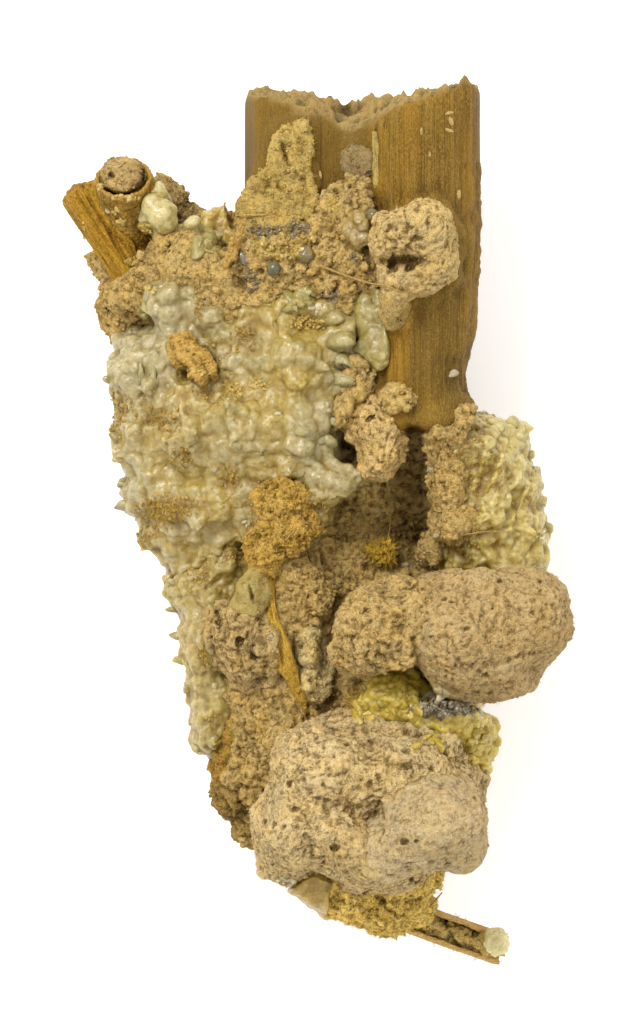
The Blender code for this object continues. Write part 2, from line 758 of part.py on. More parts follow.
def crust_right():
    """The crust at the right edge, whose crystals stand in slanting ridges."""
    lumps = (
        ((16.2, 7.6, 17.2), (4.0, 3.6, 5.8), 0),
        ((19.0, 7.8, 15.6), (2.2, 3.2, 4.6), -20),
        ((17.6, -3.0, 15.4), (6.0, 3.0, 5.0), 0),
        ((19.2, 4.4, 15.0), (3.3, 4.4, 5.8), 0),
        ((16.4, 1.0, 16.4), (4.8, 4.6, 5.6), 0),
        ((20.4, -0.4, 14.4), (2.8, 4.0, 5.4), 0),
        ((14.6, 6.6, 20.4), (1.1, 3.6, 2.2), -32),
        ((17.0, 4.6, 19.8), (1.2, 4.4, 2.4), -30),
        ((19.0, 1.6, 18.0), (1.2, 4.0, 2.2), -26),
    )
    shapes = [lump(centre, radii, turn, 0.1, 2.2, 4, seed) for seed, (centre, radii, turn) in enumerate(lumps, 60)]
    crust = fused("crust_right", shapes, 330, 0.45)
    grown = [
        crystal((20.4, 9.4, 14.6), (0.35, 1.0, 0.1), 1.6, 1.5, 5, 0.5, 61),
        crystal((21.8, 4.6, 14.0), (1.0, 0.2, 0.1), 1.7, 1.8, 5, 0.5, 62),
        crystal((22.2, 2.0, 14.2), (1.0, 0.0, 0.1), 1.7, 1.8, 5, 0.5, 63),
        crystal((22.4, -0.6, 14.0), (1.0, 0.0, 0.15), 1.6, 1.8, 5, 0.5, 64),
        crystal((22.2, -3.0, 13.8), (1.0, -0.2, 0.1), 1.6, 1.8, 5, 0.5, 65),
    ]
    grown += sprinkled(crust, 28, 1.4, 1.7, 1.8, 71, -0.1)
    encrusted(crust, grown, 480, CRYSTAL_VOXEL)
    crust.data.materials.append(crystal_finish("honey_crystal", 186, 158, 86))
    return crust


def crust_green():
    """The green-yellow crystals under the right-hand clods."""
    lumps = (
        ((7.4, -17.0, 19.6), (4.0, 2.6, 3.6), 0),
        ((12.6, -18.8, 17.6), (4.2, 3.4, 4.8), 0),
        ((15.2, -21.6, 15.2), (3.0, 3.8, 4.8), 0),
    )
    shapes = [lump(centre, radii, turn, 0.1, 2.2, 4, seed) for seed, (centre, radii, turn) in enumerate(lumps, 80)]
    crust = fused("crust_green", shapes, 220, 0.45)
    grown = sprinkled(crust, 22, 1.3, 1.7, 1.7, 91, 0.0)
    grown.append(crystal((17.2, -21.6, 14.8), (1.0, -0.1, 0.1), 1.6, 1.8, 5, 0.5, 81))
    encrusted(crust, grown, 300, CRYSTAL_VOXEL)
    crust.data.materials.append(crystal_finish("green_crystal", 160, 138, 62))
    return crust


def crystal_group(name, lumps, crystals, core, triangles, tint, voxel=0.18):
    """A small group of crystals on its own core. Each crystal is (foot, towards, length, width, sides)."""
    shapes = [lump(centre, radii, 0, 0.1, 2.0, 3, seed) for seed, (centre, radii) in enumerate(lumps, len(name))]
    group = fused(name, shapes, core, voxel)
    grown = [
        crystal(foot, towards, length, width, sides, 0.5, seed)
        for seed, (foot, towards, length, width, sides) in enumerate(crystals, len(name))
    ]
    encrusted(group, grown, triangles, voxel)
    group.data.materials.append(crystal_finish(name + "_crystal", *tint))
    return group


def pale_cluster():
    return crystal_group("pale_cluster", (
        ((-15.3, 31.9, 18.6), (1.3, 1.5, 1.6)),
        ((-15.5, 30.2, 19.0), (1.6, 1.5, 1.7)),
        ((-13.8, 29.3, 17.8), (1.4, 1.2, 1.5)),
        ((-12.4, 29.9, 17.0), (1.0, 1.0, 1.2)),
    ), (
        ((-15.2, 32.6, 19.2), (0.1, 0.9, 0.5), 1.5, 1.6, 5),
        ((-16.2, 30.4, 19.6), (-1.0, 0.0, 0.5), 1.5, 1.6, 5),
        ((-15.0, 30.8, 20.0), (0.1, 0.2, 1.0), 1.5, 1.8, 6),
        ((-12.2, 30.3, 17.6), (0.2, 0.6, 0.8), 1.0, 1.6, 6),
        ((-14.2, 29.6, 19.0), (0.3, 0.1, 1.0), 1.1, 1.4, 5),
    ), 90, 160, (192, 174, 116))


def green_crystals():
    return crystal_group("green_crystals", (
        ((5.0, 18.6, 22.4), (0.8, 2.2, 0.9)),
    ), (
        ((4.9, 18.4, 22.6), (-0.1, 1.0, 0.25), 3.2, 1.4, 6),
        ((5.4, 17.2, 22.8), (0.1, 0.8, 0.4), 3.0, 1.2, 6),
        ((5.2, 18.6, 22.8), (0.1, -0.9, 0.4), 2.6, 1.2, 6),
    ), 50, 110, (150, 134, 74))


def green_lump():
    return crystal_group("green_lump", (
        ((4.1, 28.7, 24.2), (1.1, 1.9, 1.1)),
    ), (
        ((4.3, 29.4, 24.6), (0.1, 0.8, 0.6), 1.5, 1.5, 5),
    ), 50, 90, (166, 148, 80))


def knob_crystal():
    return crystal_group("knob_crystal", (
        ((0.2, -36.4, 13.4), (1.9, 2.1, 2.6)),
    ), (
        ((-0.4, -36.2, 14.4), (-0.6, 0.1, 0.9), 1.9, 2.4, 6),
        ((0.4, -37.4, 13.8), (-0.1, -0.8, 0.6), 1.8, 2.2, 6),
    ), 60, 110, (172, 144, 70))


def reed_cap():
    return crystal_group("reed_cap", (
        ((18.1, -41.8, 10.3), (0.85, 0.9, 0.8)),
    ), (
        ((18.2, -41.4, 10.5), (0.3, 0.9, 0.5), 1.1, 0.9, 5),
        ((18.0, -42.2, 10.6), (0.2, -0.4, 0.9), 0.8, 0.9, 5),
    ), 40, 80, (212, 192, 136), 0.12)


def rosette():
    """A little fan of crystal blades in the dark cavity."""
    middle = Vector((6.85, -2.4, 16.6))
    blades = []
    for blade in range(9):
        angle = math.radians(-20 + 40 * blade)
        towards = (math.cos(angle), math.sin(angle), 0.45)
        blades.append((middle, towards, 1.5, 0.75, 4))
    blades.append((middle, (0.1, 0.1, 1.0), 1.3, 0.9, 4))
    return crystal_group("rosette", ((middle, (0.7, 0.7, 0.6)),), blades, 30, 150, (178, 142, 60), 0.1)


def dark_mineral():
    return crystal_group("dark_mineral", (
        ((11.3, -18.4, 23.2), (1.4, 0.8, 1.1)),
        ((12.9, -17.6, 23.4), (1.6, 0.9, 1.1)),
    ), (
        ((12.6, -16.8, 23.8), (-0.3, 0.9, 0.5), 1.1, 1.0, 4),
        ((13.6, -17.4, 24.0), (0.6, 0.3, 0.7), 1.1, 1.1, 4),
        ((11.4, -18.3, 23.8), (-0.3, 0.1, 1.0), 0.9, 1.1, 4),
        ((12.4, -18.2, 23.8), (0.1, -0.5, 0.9), 0.9, 1.0, 4),
    ), 60, 120, (112, 98, 66), 0.15)


def glass_bead(name, centre, radii, turn, tint):
    """One small glassy bead."""
    bead = joined(name, [lump(centre, radii, turn, 0.05, 1.5, 2, len(name))])
    bead.data.materials.append(finish(name + "_glass", *tint, 0.15))
    return bead


def bead_by_splinter():
    return glass_bead("bead_by_splinter", (-7.2, 26.5, 22.6), (0.5, 0.95, 0.55), 25, (186, 178, 160))


def bead_grey():
    return glass_bead("bead_grey", (-4.2, 25.4, 24.2), (0.75, 0.75, 0.7), 0, (132, 126, 96))


def bead_clear():
    return glass_bead("bead_clear", (-1.1, 26.85, 24.4), (1.0, 0.95, 0.9), 0, (160, 138, 92))


def bead_upper():
    return glass_bead("bead_upper", (5.5, 30.6, 24.6), (0.8, 0.8, 0.75), 0, (166, 142, 96))


def plate(name, outline, low, high, triangles, tint):
    """A thin fragment with an irregular outline, given as (x, y) points."""
    middle_x = sum(x for x, y in outline) / len(outline)
    middle_y = sum(y for x, y in outline) / len(outline)
    rings = []
    for height, share in ((low, 0.9), (low + 0.35, 1.0), (high - 0.35, 1.0), (high, 0.82)):
        rings.append([
            (middle_x + (x - middle_x) * share, middle_y + (y - middle_y) * share, height) for x, y in outline
        ])
    sheet = joined(name, [swept(rings)])
    sheet.data.materials.append(finish(name + "_face", *tint, 0.6))
    return simplified(sheet, triangles)


def spiky_fragment():
    return plate("spiky_fragment", (
        (-11.2, 28.0), (-9.0, 27.6), (-7.9, 28.6), (-8.4, 29.8), (-8.8, 30.2), (-8.9, 31.6), (-9.15, 32.8),
        (-9.5, 31.9), (-10.4, 32.0), (-10.8, 31.3), (-11.1, 30.9), (-11.1, 29.4),
    ), 14.4, 16.2, 90, (186, 158, 80))


def brown_plate():
    return plate("brown_plate", (
        (-14.1, 18.3), (-13.2, 18.6), (-12.0, 18.2), (-10.6, 17.2), (-9.9, 16.0), (-9.9, 14.9),
        (-11.2, 14.6), (-12.6, 15.7), (-13.9, 16.6),
    ), 20.2, 22.6, 70, (176, 138, 62))


# The orange stem, the reed and what lies round them


def orange_stem():
    """A crushed plant stem that runs down the middle, widest at its knot."""
    route = (
        ((-4.5, -4.8, 20.3), 0.42), ((-4.5, -7.3, 20.7), 0.45), ((-4.2, -9.4, 20.8), 0.55),
        ((-3.4, -11.8, 20.6), 1.0), ((-2.9, -13.8, 20.1), 1.0), ((-2.3, -15.4, 19.3), 0.75),
        ((-1.6, -17.1, 18.2), 0.55), ((-1.2, -18.6, 17.2), 0.42),
    )
    rings = []
    for (here, radius), (beyond, _) in zip(route, route[1:]):
        rings.append(ring_at(here, Vector(beyond) - Vector(here), radius, 8, 0.06, 0.75))
    last, radius = route[-1]
    rings.append(ring_at(last, Vector(last) - Vector(route[-2][0]), radius, 8, 0.06, 0.75))
    orange = joined("orange_stem", [swept(rings)])
    orange.data.materials.append(finish("orange_fibre", 166, 126, 52, 0.75))
    return orange


REED_START = Vector((4.6, -37.65, 9.9))
REED_END = Vector((18.95, -42.9, 8.4))


def reed():
    """A split reed: a shell open along its upper side."""
    axis = (REED_END - REED_START).normalized()
    arc = 12
    rings = []
    for share in (0.0, 0.35, 0.7, 1.0):
        place = REED_START + (REED_END - REED_START) * share
        side = axis.cross(Vector((0, 0, 1))).normalized()
        up = side.cross(axis)
        ring = []
        for reach, order in ((REED_RADIUS, range(arc)), (REED_RADIUS - 0.42, reversed(range(arc)))):
            for step in order:
                angle = math.radians(140 + 260 * step / (arc - 1))
                ring.append(place + side * reach * math.cos(angle) + up * reach * math.sin(angle))
        rings.append(ring)
    shell = joined("reed", [swept(rings)])
    shell.data.materials.append(finish("reed_shell", 120, 84, 36, 0.7))
    return shell


def reed_fill():
    """The crumbs in the reed, heaped a little above its open side."""
    axis = (REED_END - REED_START).normalized()
    chance = random.Random(17)
    rings = []
    for share in (0.3, 0.45, 0.6, 0.75, 0.88, 0.96):
        place = REED_START.lerp(REED_END, share)
        side = axis.cross(Vector((0, 0, 1))).normalized()
        up = side.cross(axis)
        ring = []
        for step in range(8):
            angle = math.tau * step / 8
            reach = 0.66 * chance.uniform(0.82, 1.0)
            heap = max(0.0, math.sin(angle)) * chance.uniform(0.5, 0.85)
            ring.append(place + side * reach * math.cos(angle) + up * (reach * math.sin(angle) + heap))
        rings.append(ring)
    crumbs = joined("reed_fill", [swept(rings)])
    crumbs["snug"] = True
    crumbs.data.materials.append(finish("reed_crumbs", 160, 132, 72))
    return crumbs


def crumb_bottom():
    """The crumbly end mass, with short points along its lower edge."""
    lumps = (
        ((3.8, -37.3, 13.6), (2.8, 2.6, 4.2), 0),
        ((7.2, -38.0, 12.8), (3.6, 2.9, 4.2), 0),
        ((9.6, -37.6, 11.8), (2.0, 2.2, 3.4), 0),
        ((9.0, -34.8, 13.6), (3.8, 2.8, 4.2), 0),
    )
    shapes = [lump(centre, radii, turn, 0.13, 2.4, 4, seed) for seed, (centre, radii, turn) in enumerate(lumps, 30)]
    crumb = fused("crumb_bottom", shapes, 260, 0.4)
    grown = [
        crystal((3.0, -39.0, 12.2), (0.0, -1.0, 0.0), 1.2, 1.1, 5, 0.5, 31),
        crystal((5.4, -39.6, 12.0), (0.0, -1.0, 0.0), 1.5, 1.2, 5, 0.4, 32),
        crystal((8.0, -39.9, 11.8), (0.0, -1.0, 0.1), 1.6, 1.4, 5, 0.4, 33),
    ]
    encrusted(crumb, grown, 240, CRYSTAL_VOXEL)
    crumb.data.materials.append(finish("yellow_crumb", 172, 140, 68))
    return crumb


# The crumbly earth that carries everything


def matrix():
    """The crumbly earth behind, between and under the other pieces, trimmed flat at its back."""
    lumps = (
        ((-11.6, 20.6, 8.0), (8.0, 8.6, 9.0), 0),
        ((2.6, 21.4, 6.6), (10.6, 9.6, 8.0), 0),
        ((-8.0, 8.0, 8.4), (10.6, 9.0, 9.6), 0),
        ((6.0, 6.0, 7.6), (10.0, 9.0, 8.8), 0),
        ((15.4, 3.4, 9.4), (5.8, 6.6, 7.4), 0),
        ((0.0, -5.6, 8.4), (11.4, 9.0, 9.8), 0),
        ((11.0, -11.6, 9.8), (9.6, 8.0, 10.4), 0),
        ((-1.8, -15.6, 8.4), (10.0, 9.0, 9.8), 0),
        ((4.6, -24.6, 8.4), (9.4, 8.0, 9.8), 0),
        ((4.0, -32.0, 8.4), (6.6, 5.2, 7.0), 0),
        ((-12.9, 25.0, 16.2), (4.8, 4.3, 5.4), 0),
        ((-19.2, 21.9, 11.0), (3.0, 4.6, 5.2), 15),
        ((-20.6, 26.6, 11.2), (2.8, 2.9, 3.6), 0),
        ((2.6, 29.2, 21.0), (3.4, 3.4, 2.8), 0),
        ((-0.6, 25.6, 20.8), (5.4, 4.2, 3.2), 0),
        ((-4.6, 25.4, 20.0), (3.8, 3.4, 3.4), 0),
        ((-8.6, 23.0, 18.4), (3.6, 4.0, 4.6), 0),
        ((-9.4, 27.6, 14.6), (3.0, 2.6, 3.0), 0),
        ((-8.6, 29.6, 13.6), (2.0, 2.6, 2.6), 0),
        ((5.2, 14.8, 18.0), (2.3, 3.8, 4.6), 0),
        ((13.0, 8.8, 18.0), (2.4, 2.2, 5.2), 0),
        ((10.9, 11.2, 22.6), (2.6, 3.2, 3.2), 0),
        ((13.8, 10.6, 21.8), (2.0, 3.2, 3.2), 0),
        ((8.8, 10.6, 14.2), (3.6, 3.4, 4.4), 0),
        ((-2.8, -8.6, 15.2), (5.4, 5.6, 4.6), 0),
        ((-0.85, -6.4, 18.4), (1.6, 2.7, 3.4), 0),
        ((-5.0, -17.2, 14.2), (4.6, 5.6, 4.8), 0),
        ((-5.8, -23.8, 12.4), (4.2, 4.8, 4.6), 0),
        ((-4.4, -29.6, 10.0), (3.6, 3.6, 4.4), 0),
    )
    shapes = [lump(centre, radii, turn, 0.1, 2.0, 4, seed) for seed, (centre, radii, turn) in enumerate(lumps, 100)]
    body = fused("matrix", shapes, 900, 0.6)
    body["rests"] = True
    body["seat_gap"] = MATRIX_SEAT_GAP
    body.data.materials.append(finish("crumbly_earth", 173, 143, 84))
    return body


MAKERS = (
    wood_slab, straw_splinter, wood_pebble, bark_splinter, stem_stub, hollow_stem, earth_plug,
    clod_upper, crumb_below_clod, clod_right, clod_right_small, small_lobe, pale_lobe,
    clod_bottom, clod_middle, brown_plate, orange_crumb, tan_pebble, orange_stem, rough_nodule,
    grey_ridge, rosette, dark_mineral, knob_crystal, reed, reed_cap, reed_fill,
    pale_cluster, spiky_fragment, bead_by_splinter, bead_grey, bead_clear, bead_upper, green_lump,
    green_crystals, wood_crust, earth_ridge, crust_main, crust_lower_left, crust_right, crust_green,
    foot_lump, orange_ridge, crumb_bottom, matrix,
)

placed = []
for make in MAKERS:
    placed.append(seated(make(), placed))
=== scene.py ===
"""The looks of a gibbsite pseudomorph: old wood and plant stems, overgrown by crumbly
earth, crystal crusts and rounded clods. It lies on its back, and the camera looks down on it."""

import math

import bmesh
import bpy
import numpy as np
from mathutils import Matrix, Vector
from mathutils.bvhtree import BVHTree


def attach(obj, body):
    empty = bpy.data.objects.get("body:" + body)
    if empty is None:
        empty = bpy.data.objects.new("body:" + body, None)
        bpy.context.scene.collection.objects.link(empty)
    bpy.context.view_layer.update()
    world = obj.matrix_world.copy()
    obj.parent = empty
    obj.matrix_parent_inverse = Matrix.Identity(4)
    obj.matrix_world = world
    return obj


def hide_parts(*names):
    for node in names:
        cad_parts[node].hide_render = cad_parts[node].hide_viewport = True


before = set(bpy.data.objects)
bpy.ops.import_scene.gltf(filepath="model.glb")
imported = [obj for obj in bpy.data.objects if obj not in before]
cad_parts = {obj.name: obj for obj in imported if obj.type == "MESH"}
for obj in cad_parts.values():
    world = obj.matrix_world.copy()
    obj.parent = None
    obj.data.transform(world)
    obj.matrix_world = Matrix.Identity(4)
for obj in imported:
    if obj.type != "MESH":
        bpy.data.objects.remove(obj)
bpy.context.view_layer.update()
MM = 0.001


# The table, the light and the camera. A plain pale floor lies under the specimen, soft
# light comes from all round and from the upper left, and the camera looks straight down.

CAMERA_HEIGHT = 0.6
LOOK_AT = (-0.2 * MM, 1.45 * MM)
LOOK_LEVEL = 15 * MM
FRAME_HEIGHT = 102.4 * MM
SENSOR = 36.0
ROOM_LIGHT = 1.1

scene = bpy.context.scene
scene.view_settings.view_transform = "Standard"

camera_data = bpy.data.cameras.new("camera")
camera_data.sensor_fit = "VERTICAL"
camera_data.sensor_height = SENSOR
camera_data.lens = SENSOR * CAMERA_HEIGHT / FRAME_HEIGHT
camera_data.clip_start = 0.05
camera = bpy.data.objects.new("camera", camera_data)
camera.location = (*LOOK_AT, LOOK_LEVEL + CAMERA_HEIGHT)
scene.collection.objects.link(camera)
scene.camera = camera

world = bpy.data.worlds.new("soft_room")
world.use_nodes = True
world.node_tree.nodes["Background"].inputs["Color"].default_value = (1.0, 0.99, 0.97, 1.0)
world.node_tree.nodes["Background"].inputs["Strength"].default_value = ROOM_LIGHT
scene.world = world


def soft_light(name, place, size, power):
    """A round soft lamp that faces the specimen. The place and size are in metres."""
    lamp = bpy.data.lights.new(name, "AREA")
    lamp.shape = "DISK"
    lamp.size = size
    lamp.energy = power
    holder = bpy.data.objects.new(name, lamp)
    holder.location = place
    holder.rotation_euler = Vector(place).to_track_quat("Z", "Y").to_euler()
    scene.collection.objects.link(holder)


soft_light("key_light", (-0.2, 0.3, 0.5), 0.2, 3.6)
soft_light("fill_light", (0.28, -0.1, 0.45), 0.3, 0.4)


def floor_finish():
    """Near-white paper, with hardly any grain and a faint glow that keeps it pale."""
    material = bpy.data.materials.new("pale_floor")
    material.use_nodes = True
    nodes = material.node_tree.nodes
    links = material.node_tree.links
    grain = nodes.new("ShaderNodeTexNoise")
    grain.inputs["Scale"].default_value = 40.0
    tones = nodes.new("ShaderNodeMapRange")
    tones.inputs["To Min"].default_value = 0.9
    tones.inputs["To Max"].default_value = 0.94
    shader = nodes["Principled BSDF"].inputs
    links.new(grain.outputs["Fac"], tones.inputs["Value"])
    links.new(tones.outputs["Result"], shader["Base Color"])
    shader["Roughness"].default_value = 0.9
    shader["Emission Color"].default_value = (1.0, 1.0, 1.0, 1.0)
    shader["Emission Strength"].default_value = 0.22
    return material


FLOOR_HALF = 1.5
floor_corners = [(x * FLOOR_HALF, y * FLOOR_HALF, 0) for x, y in ((-1, -1), (1, -1), (1, 1), (-1, 1))]
floor_mesh = bpy.data.meshes.new("floor")
floor_mesh.from_pydata(floor_corners, [], [(0, 1, 2, 3)])
floor_mesh.materials.append(floor_finish())
floor = bpy.data.objects.new("floor", floor_mesh)
scene.collection.objects.link(floor)


# The crumbly earth behind and between everything: soft tan soil, grown through with
# pores and grains. It swells a little where a neighbour sits on it, so no gap shows.

LIT_SHARE = 0.85
AXIS_STEPS = np.array([73856093, 19349663, 83492791], dtype=np.int64)
SEED_STEP = 374761393
STIRS = ((13, 1274126177), (16, 668265263))
BITS_20, BITS_31, BITS_47 = 2 ** 20 - 1, 2 ** 31 - 1, 2 ** 47 - 1
FINER = 1.9


def linear(value):
    """One 8-bit colour value as linear light."""
    share = value / 255
    if share <= 0.04045:
        return share / 12.92
    return ((share + 0.055) / 1.055) ** 2.4


def colour(red, green, blue, factor=1.0):
    """The surface colour that looks like this 8-bit one under the soft light."""
    return tuple(min(1.0, linear(value) * factor * LIT_SHARE) for value in (red, green, blue)) + (1.0,)


def hashed(cell, seed):
    """A steady random number from 0 to 1 for each whole-numbered place."""
    mixed = (cell * AXIS_STEPS).sum(axis=-1) + seed * SEED_STEP
    for shift, factor in STIRS:
        mixed = (mixed ^ (mixed >> shift)) & BITS_31
        mixed = (mixed * factor) & BITS_47
    return ((mixed >> 9) & BITS_20) / float(BITS_20)


def cloud(points, size, seed):
    """Soft random heights from -1 to 1 over places in mm. The size may differ per axis."""
    scaled = points / np.asarray(size)
    low = np.floor(scaled).astype(np.int64)
    share = scaled - low
    ease = share * share * (3 - 2 * share)
    total = np.zeros(len(points))
    for corner in range(8):
        step = np.array([corner & 1, corner >> 1 & 1, corner >> 2 & 1])
        weight = np.prod(np.where(step == 1, ease, 1 - ease), axis=1)
        total += weight * hashed(low + step, seed)
    return total * 2 - 1


def clouds(points, size, seed, octaves=3):
    """Soft random heights with finer and weaker ones laid over them."""
    total = np.zeros(len(points))
    strength = 1.0
    for octave in range(octaves):
        total += strength * cloud(points + 17.3 * octave, np.asarray(size) / FINER ** octave, seed + octave)
        strength *= 0.55
    return total / 1.5


def creases(points, size, seed, octaves=3):
    """Round swellings with sharp creases between them, of several sizes."""
    bend = np.stack([cloud(points, size * 1.4, seed + 50 + axis) for axis in range(3)], axis=1)
    bent = points + bend * size * 0.5
    total = np.zeros(len(points))
    strength = 1.0
    for octave in range(octaves):
        swelling = np.abs(cloud(bent + 9.1 * octave, size / FINER ** octave, seed + octave)) * 2.2 - 0.75
        total += strength * swelling
        strength *= 0.6
    return total * np.clip(0.75 + 0.7 * cloud(points, size * 3.1, seed + 60), 0.25, 1.4)


def near_cells(points, size, seed):
    """Each place's distance to the middles of the cells around it, and each cell's own number."""
    scaled = points / size
    low = np.floor(scaled).astype(np.int64)
    for step in np.ndindex(3, 3, 3):
        cell = low + np.array(step) - 1
        middle = np.stack([hashed(cell, seed + axis * 31) for axis in range(3)], axis=1)
        yield np.sqrt(((cell + 0.15 + 0.7 * middle - scaled) ** 2).sum(axis=1)), hashed(cell, seed + 97)


def cells(points, size, seed):
    """How far each place is from the middle of its cell: 0 in the middle, about 1 at the rim."""
    nearest = np.full(len(points), 9.0)
    for away, _ in near_cells(points, size, seed):
        nearest = np.minimum(nearest, away)
    return nearest


def holes(points, size, seed, share):
    """Ragged holes of mixed widths in this share of the cells: 1 at the bottom of a hole."""
    deepest = np.zeros(len(points))
    bend = np.stack([cloud(points, size * 0.5, seed + 50 + axis) for axis in range(3)], axis=1)
    for away, own in near_cells(points + bend * size * 0.3, size, seed):
        radius = np.where(own < share, 0.14 + 0.4 * own / share, 0.001)
        deepest = np.maximum(deepest, np.clip(1.15 - (away / radius) ** 2, 0, 1))
    return deepest


class Skin:
    """Places (mm), faces and values of one surface while it is worked on.

    Each array in faces holds the faces of one number of corners, and soft says which are shaded round.
    """

    def __init__(self, co, faces, soft=True):
        self.co = co
        self.faces = faces
        self.soft = [np.full(len(face), soft) for face in faces]
        self.values = {}

    def edges(self):
        """The two ends of each edge, once each."""
        pairs = [face[:, [k, (k + 1) % face.shape[1]]] for face in self.faces for k in range(face.shape[1])]
        return np.unique(np.sort(np.concatenate(pairs), axis=1), axis=0)

    def normals(self):
        """Which way the surface faces at each place."""
        total = np.zeros_like(self.co)
        for face in self.faces:
            first, second, third = self.co[face[:, 0]], self.co[face[:, 1]], self.co[face[:, -1]]
            across = np.cross(second - first, third - first)
            for k in range(face.shape[1]):
                for axis in range(3):
                    total[:, axis] += np.bincount(face[:, k], across[:, axis], len(total))
        return total / np.maximum(np.linalg.norm(total, axis=1, keepdims=True), 1e-12)


def averaged(values, edges, rounds):
    """Each value drawn towards those next to it."""
    flat = values.reshape(len(values), -1)
    count = np.bincount(edges.ravel(), minlength=len(flat)).astype(float)
    for _ in range(rounds):
        near = np.empty_like(flat)
        for axis in range(flat.shape[1]):
            near[:, axis] = (
                np.bincount(edges[:, 0], flat[edges[:, 1], axis], len(flat))
                + np.bincount(edges[:, 1], flat[edges[:, 0], axis], len(flat))
            )
        flat = 0.5 * flat + 0.5 * near / np.maximum(count, 1)[:, None]
    return flat.reshape(values.shape)


def arrays_of(mesh):
    """The places (mm) and faces of a mesh."""
    co = np.empty(len(mesh.vertices) * 3)
    mesh.vertices.foreach_get("co", co)
    index = np.empty(len(mesh.loops), dtype=np.int64)
    mesh.loops.foreach_get("vertex_index", index)
    start = np.empty(len(mesh.polygons), dtype=np.int64)
    mesh.polygons.foreach_get("loop_start", start)
    total = np.diff(np.append(start, len(index)))
    faces = [index[start[total == k][:, None] + np.arange(k)] for k in np.unique(total)]
    return co.reshape(-1, 3) / MM, faces


def place_of(px, py):
    """A place across the specimen, in mm, from its place in the picture of it."""
    return (px - 316.5) * 0.1, (526.5 - py) * 0.1


def fine_skin(node, voxel, rounds, mounds=()):
    """A closed copy of a solid's surface, with its facets worn round and mounds grown on it.

    Each mound is its place in the picture, height of its middle and three half widths in mm.
    """
    shape = bmesh.new()
    shape.from_mesh(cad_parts[node].data)
    bmesh.ops.remove_doubles(shape, verts=shape.verts, dist=1e-6)
    for px, py, level, wide, high, deep in mounds:
        x, y = place_of(px, py)
        spot = Matrix.Translation(Vector((x, y, level)) * MM)
        spot = spot @ Matrix.Diagonal((wide * MM, high * MM, deep * MM, 1))
        bmesh.ops.create_icosphere(shape, subdivisions=3, radius=1, matrix=spot)
    whole = bpy.data.meshes.new("work")
    shape.to_mesh(whole)
    shape.free()
    holder = bpy.data.objects.new("work", whole)
    scene.collection.objects.link(holder)
    fine = holder.modifiers.new("Fine", "REMESH")
    fine.mode = "VOXEL"
    fine.voxel_size = voxel * MM
    made = bpy.data.meshes.new_from_object(holder.evaluated_get(bpy.context.evaluated_depsgraph_get()))
    skin = Skin(*arrays_of(made))
    bpy.data.objects.remove(holder, do_unlink=True)
    bpy.data.meshes.remove(made)
    bpy.data.meshes.remove(whole)
    skin.co = averaged(skin.co, skin.edges(), rounds)
    return skin


def solids_around(low, high, left_out):
    """The bare solids that come between the corners, as one tree to measure distances to."""
    corners, faces = [], []
    for name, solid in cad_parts.items():
        places = np.array([vert.co / MM for vert in solid.data.vertices])
        if name in left_out or (places.max(axis=0) < low).any() or (places.min(axis=0) > high).any():
            continue
        shift = len(corners)
        corners += places.tolist()
        faces += [[shift + index for index in face.vertices] for face in solid.data.polygons]
    return BVHTree.FromPolygons(corners, faces) if faces else None


FAR = 99.0
ALL_SOLIDS = solids_around(np.full(3, -FAR), np.full(3, FAR), ())
CLEAR_BY = 0.9


def in_the_open(skin):
    """1 where nothing lies above the skin, 0 underneath and where it is covered."""
    normal = skin.normals()
    outer = skin.co + normal * CLEAR_BY
    found = np.zeros(len(skin.co))
    for index in np.flatnonzero(normal[:, 2] > -0.35):
        if ALL_SOLIDS.ray_cast(outer[index], (0, 0, 1))[0] is None:
            found[index] = 1
    return np.clip(averaged(found, skin.edges(), 2) * 2, 0, 1)


def cut_finer(skin, wanted):
    """Cuts the wanted triangles in four, and those next to them so that they still meet."""
    fans = [face[:, [0, k, k + 1]] for face in skin.faces for k in range(1, face.shape[1] - 1)]
    faces = np.concatenate(fans)
    count = len(skin.co)
    pairs = np.sort(np.stack([faces, np.roll(faces, -1, axis=1)], axis=2), axis=2).reshape(-1, 2)
    edges, which = np.unique(pairs[:, 0] * count + pairs[:, 1], return_inverse=True)
    which = which.reshape(-1, 3)
    split = np.zeros(len(edges), dtype=bool)
    split[which[wanted[faces].any(axis=1)]] = True
    first, second = edges[split] // count, edges[split] % count
    fresh = np.full(len(edges), -1)
    fresh[split] = count + np.arange(split.sum())
    middle = fresh[which]
    cuts = (middle >= 0).sum(axis=1)
    made = [faces[cuts == 0]]
    for number, first_cut in ((1, middle >= 0), (2, np.roll(middle < 0, 1, axis=1)), (3, middle >= 0)):
        rows = np.flatnonzero(cuts == number)
        turn = (np.arange(3)[None] + first_cut[rows].argmax(axis=1)[:, None]) % 3
        (a, b, c), (ab, bc, ca) = faces[rows[:, None], turn].T, middle[rows[:, None], turn].T
        for trio in {1: ((a, ab, c), (ab, b, c)), 2: ((ab, b, bc), (a, ab, bc), (a, bc, c)),
                     3: ((a, ab, ca), (ab, b, bc), (ca, bc, c), (ab, bc, ca))}[number]:
            made.append(np.stack(trio, axis=1))
    finer = Skin(np.concatenate([skin.co, (skin.co[first] + skin.co[second]) / 2]), [np.concatenate(made)])
    for key, values in skin.values.items():
        finer.values[key] = np.concatenate([values, (values[first] + values[second]) / 2])
    return finer


CLOSE = 1.25
PRESS = 0.12
FADE = 0.35


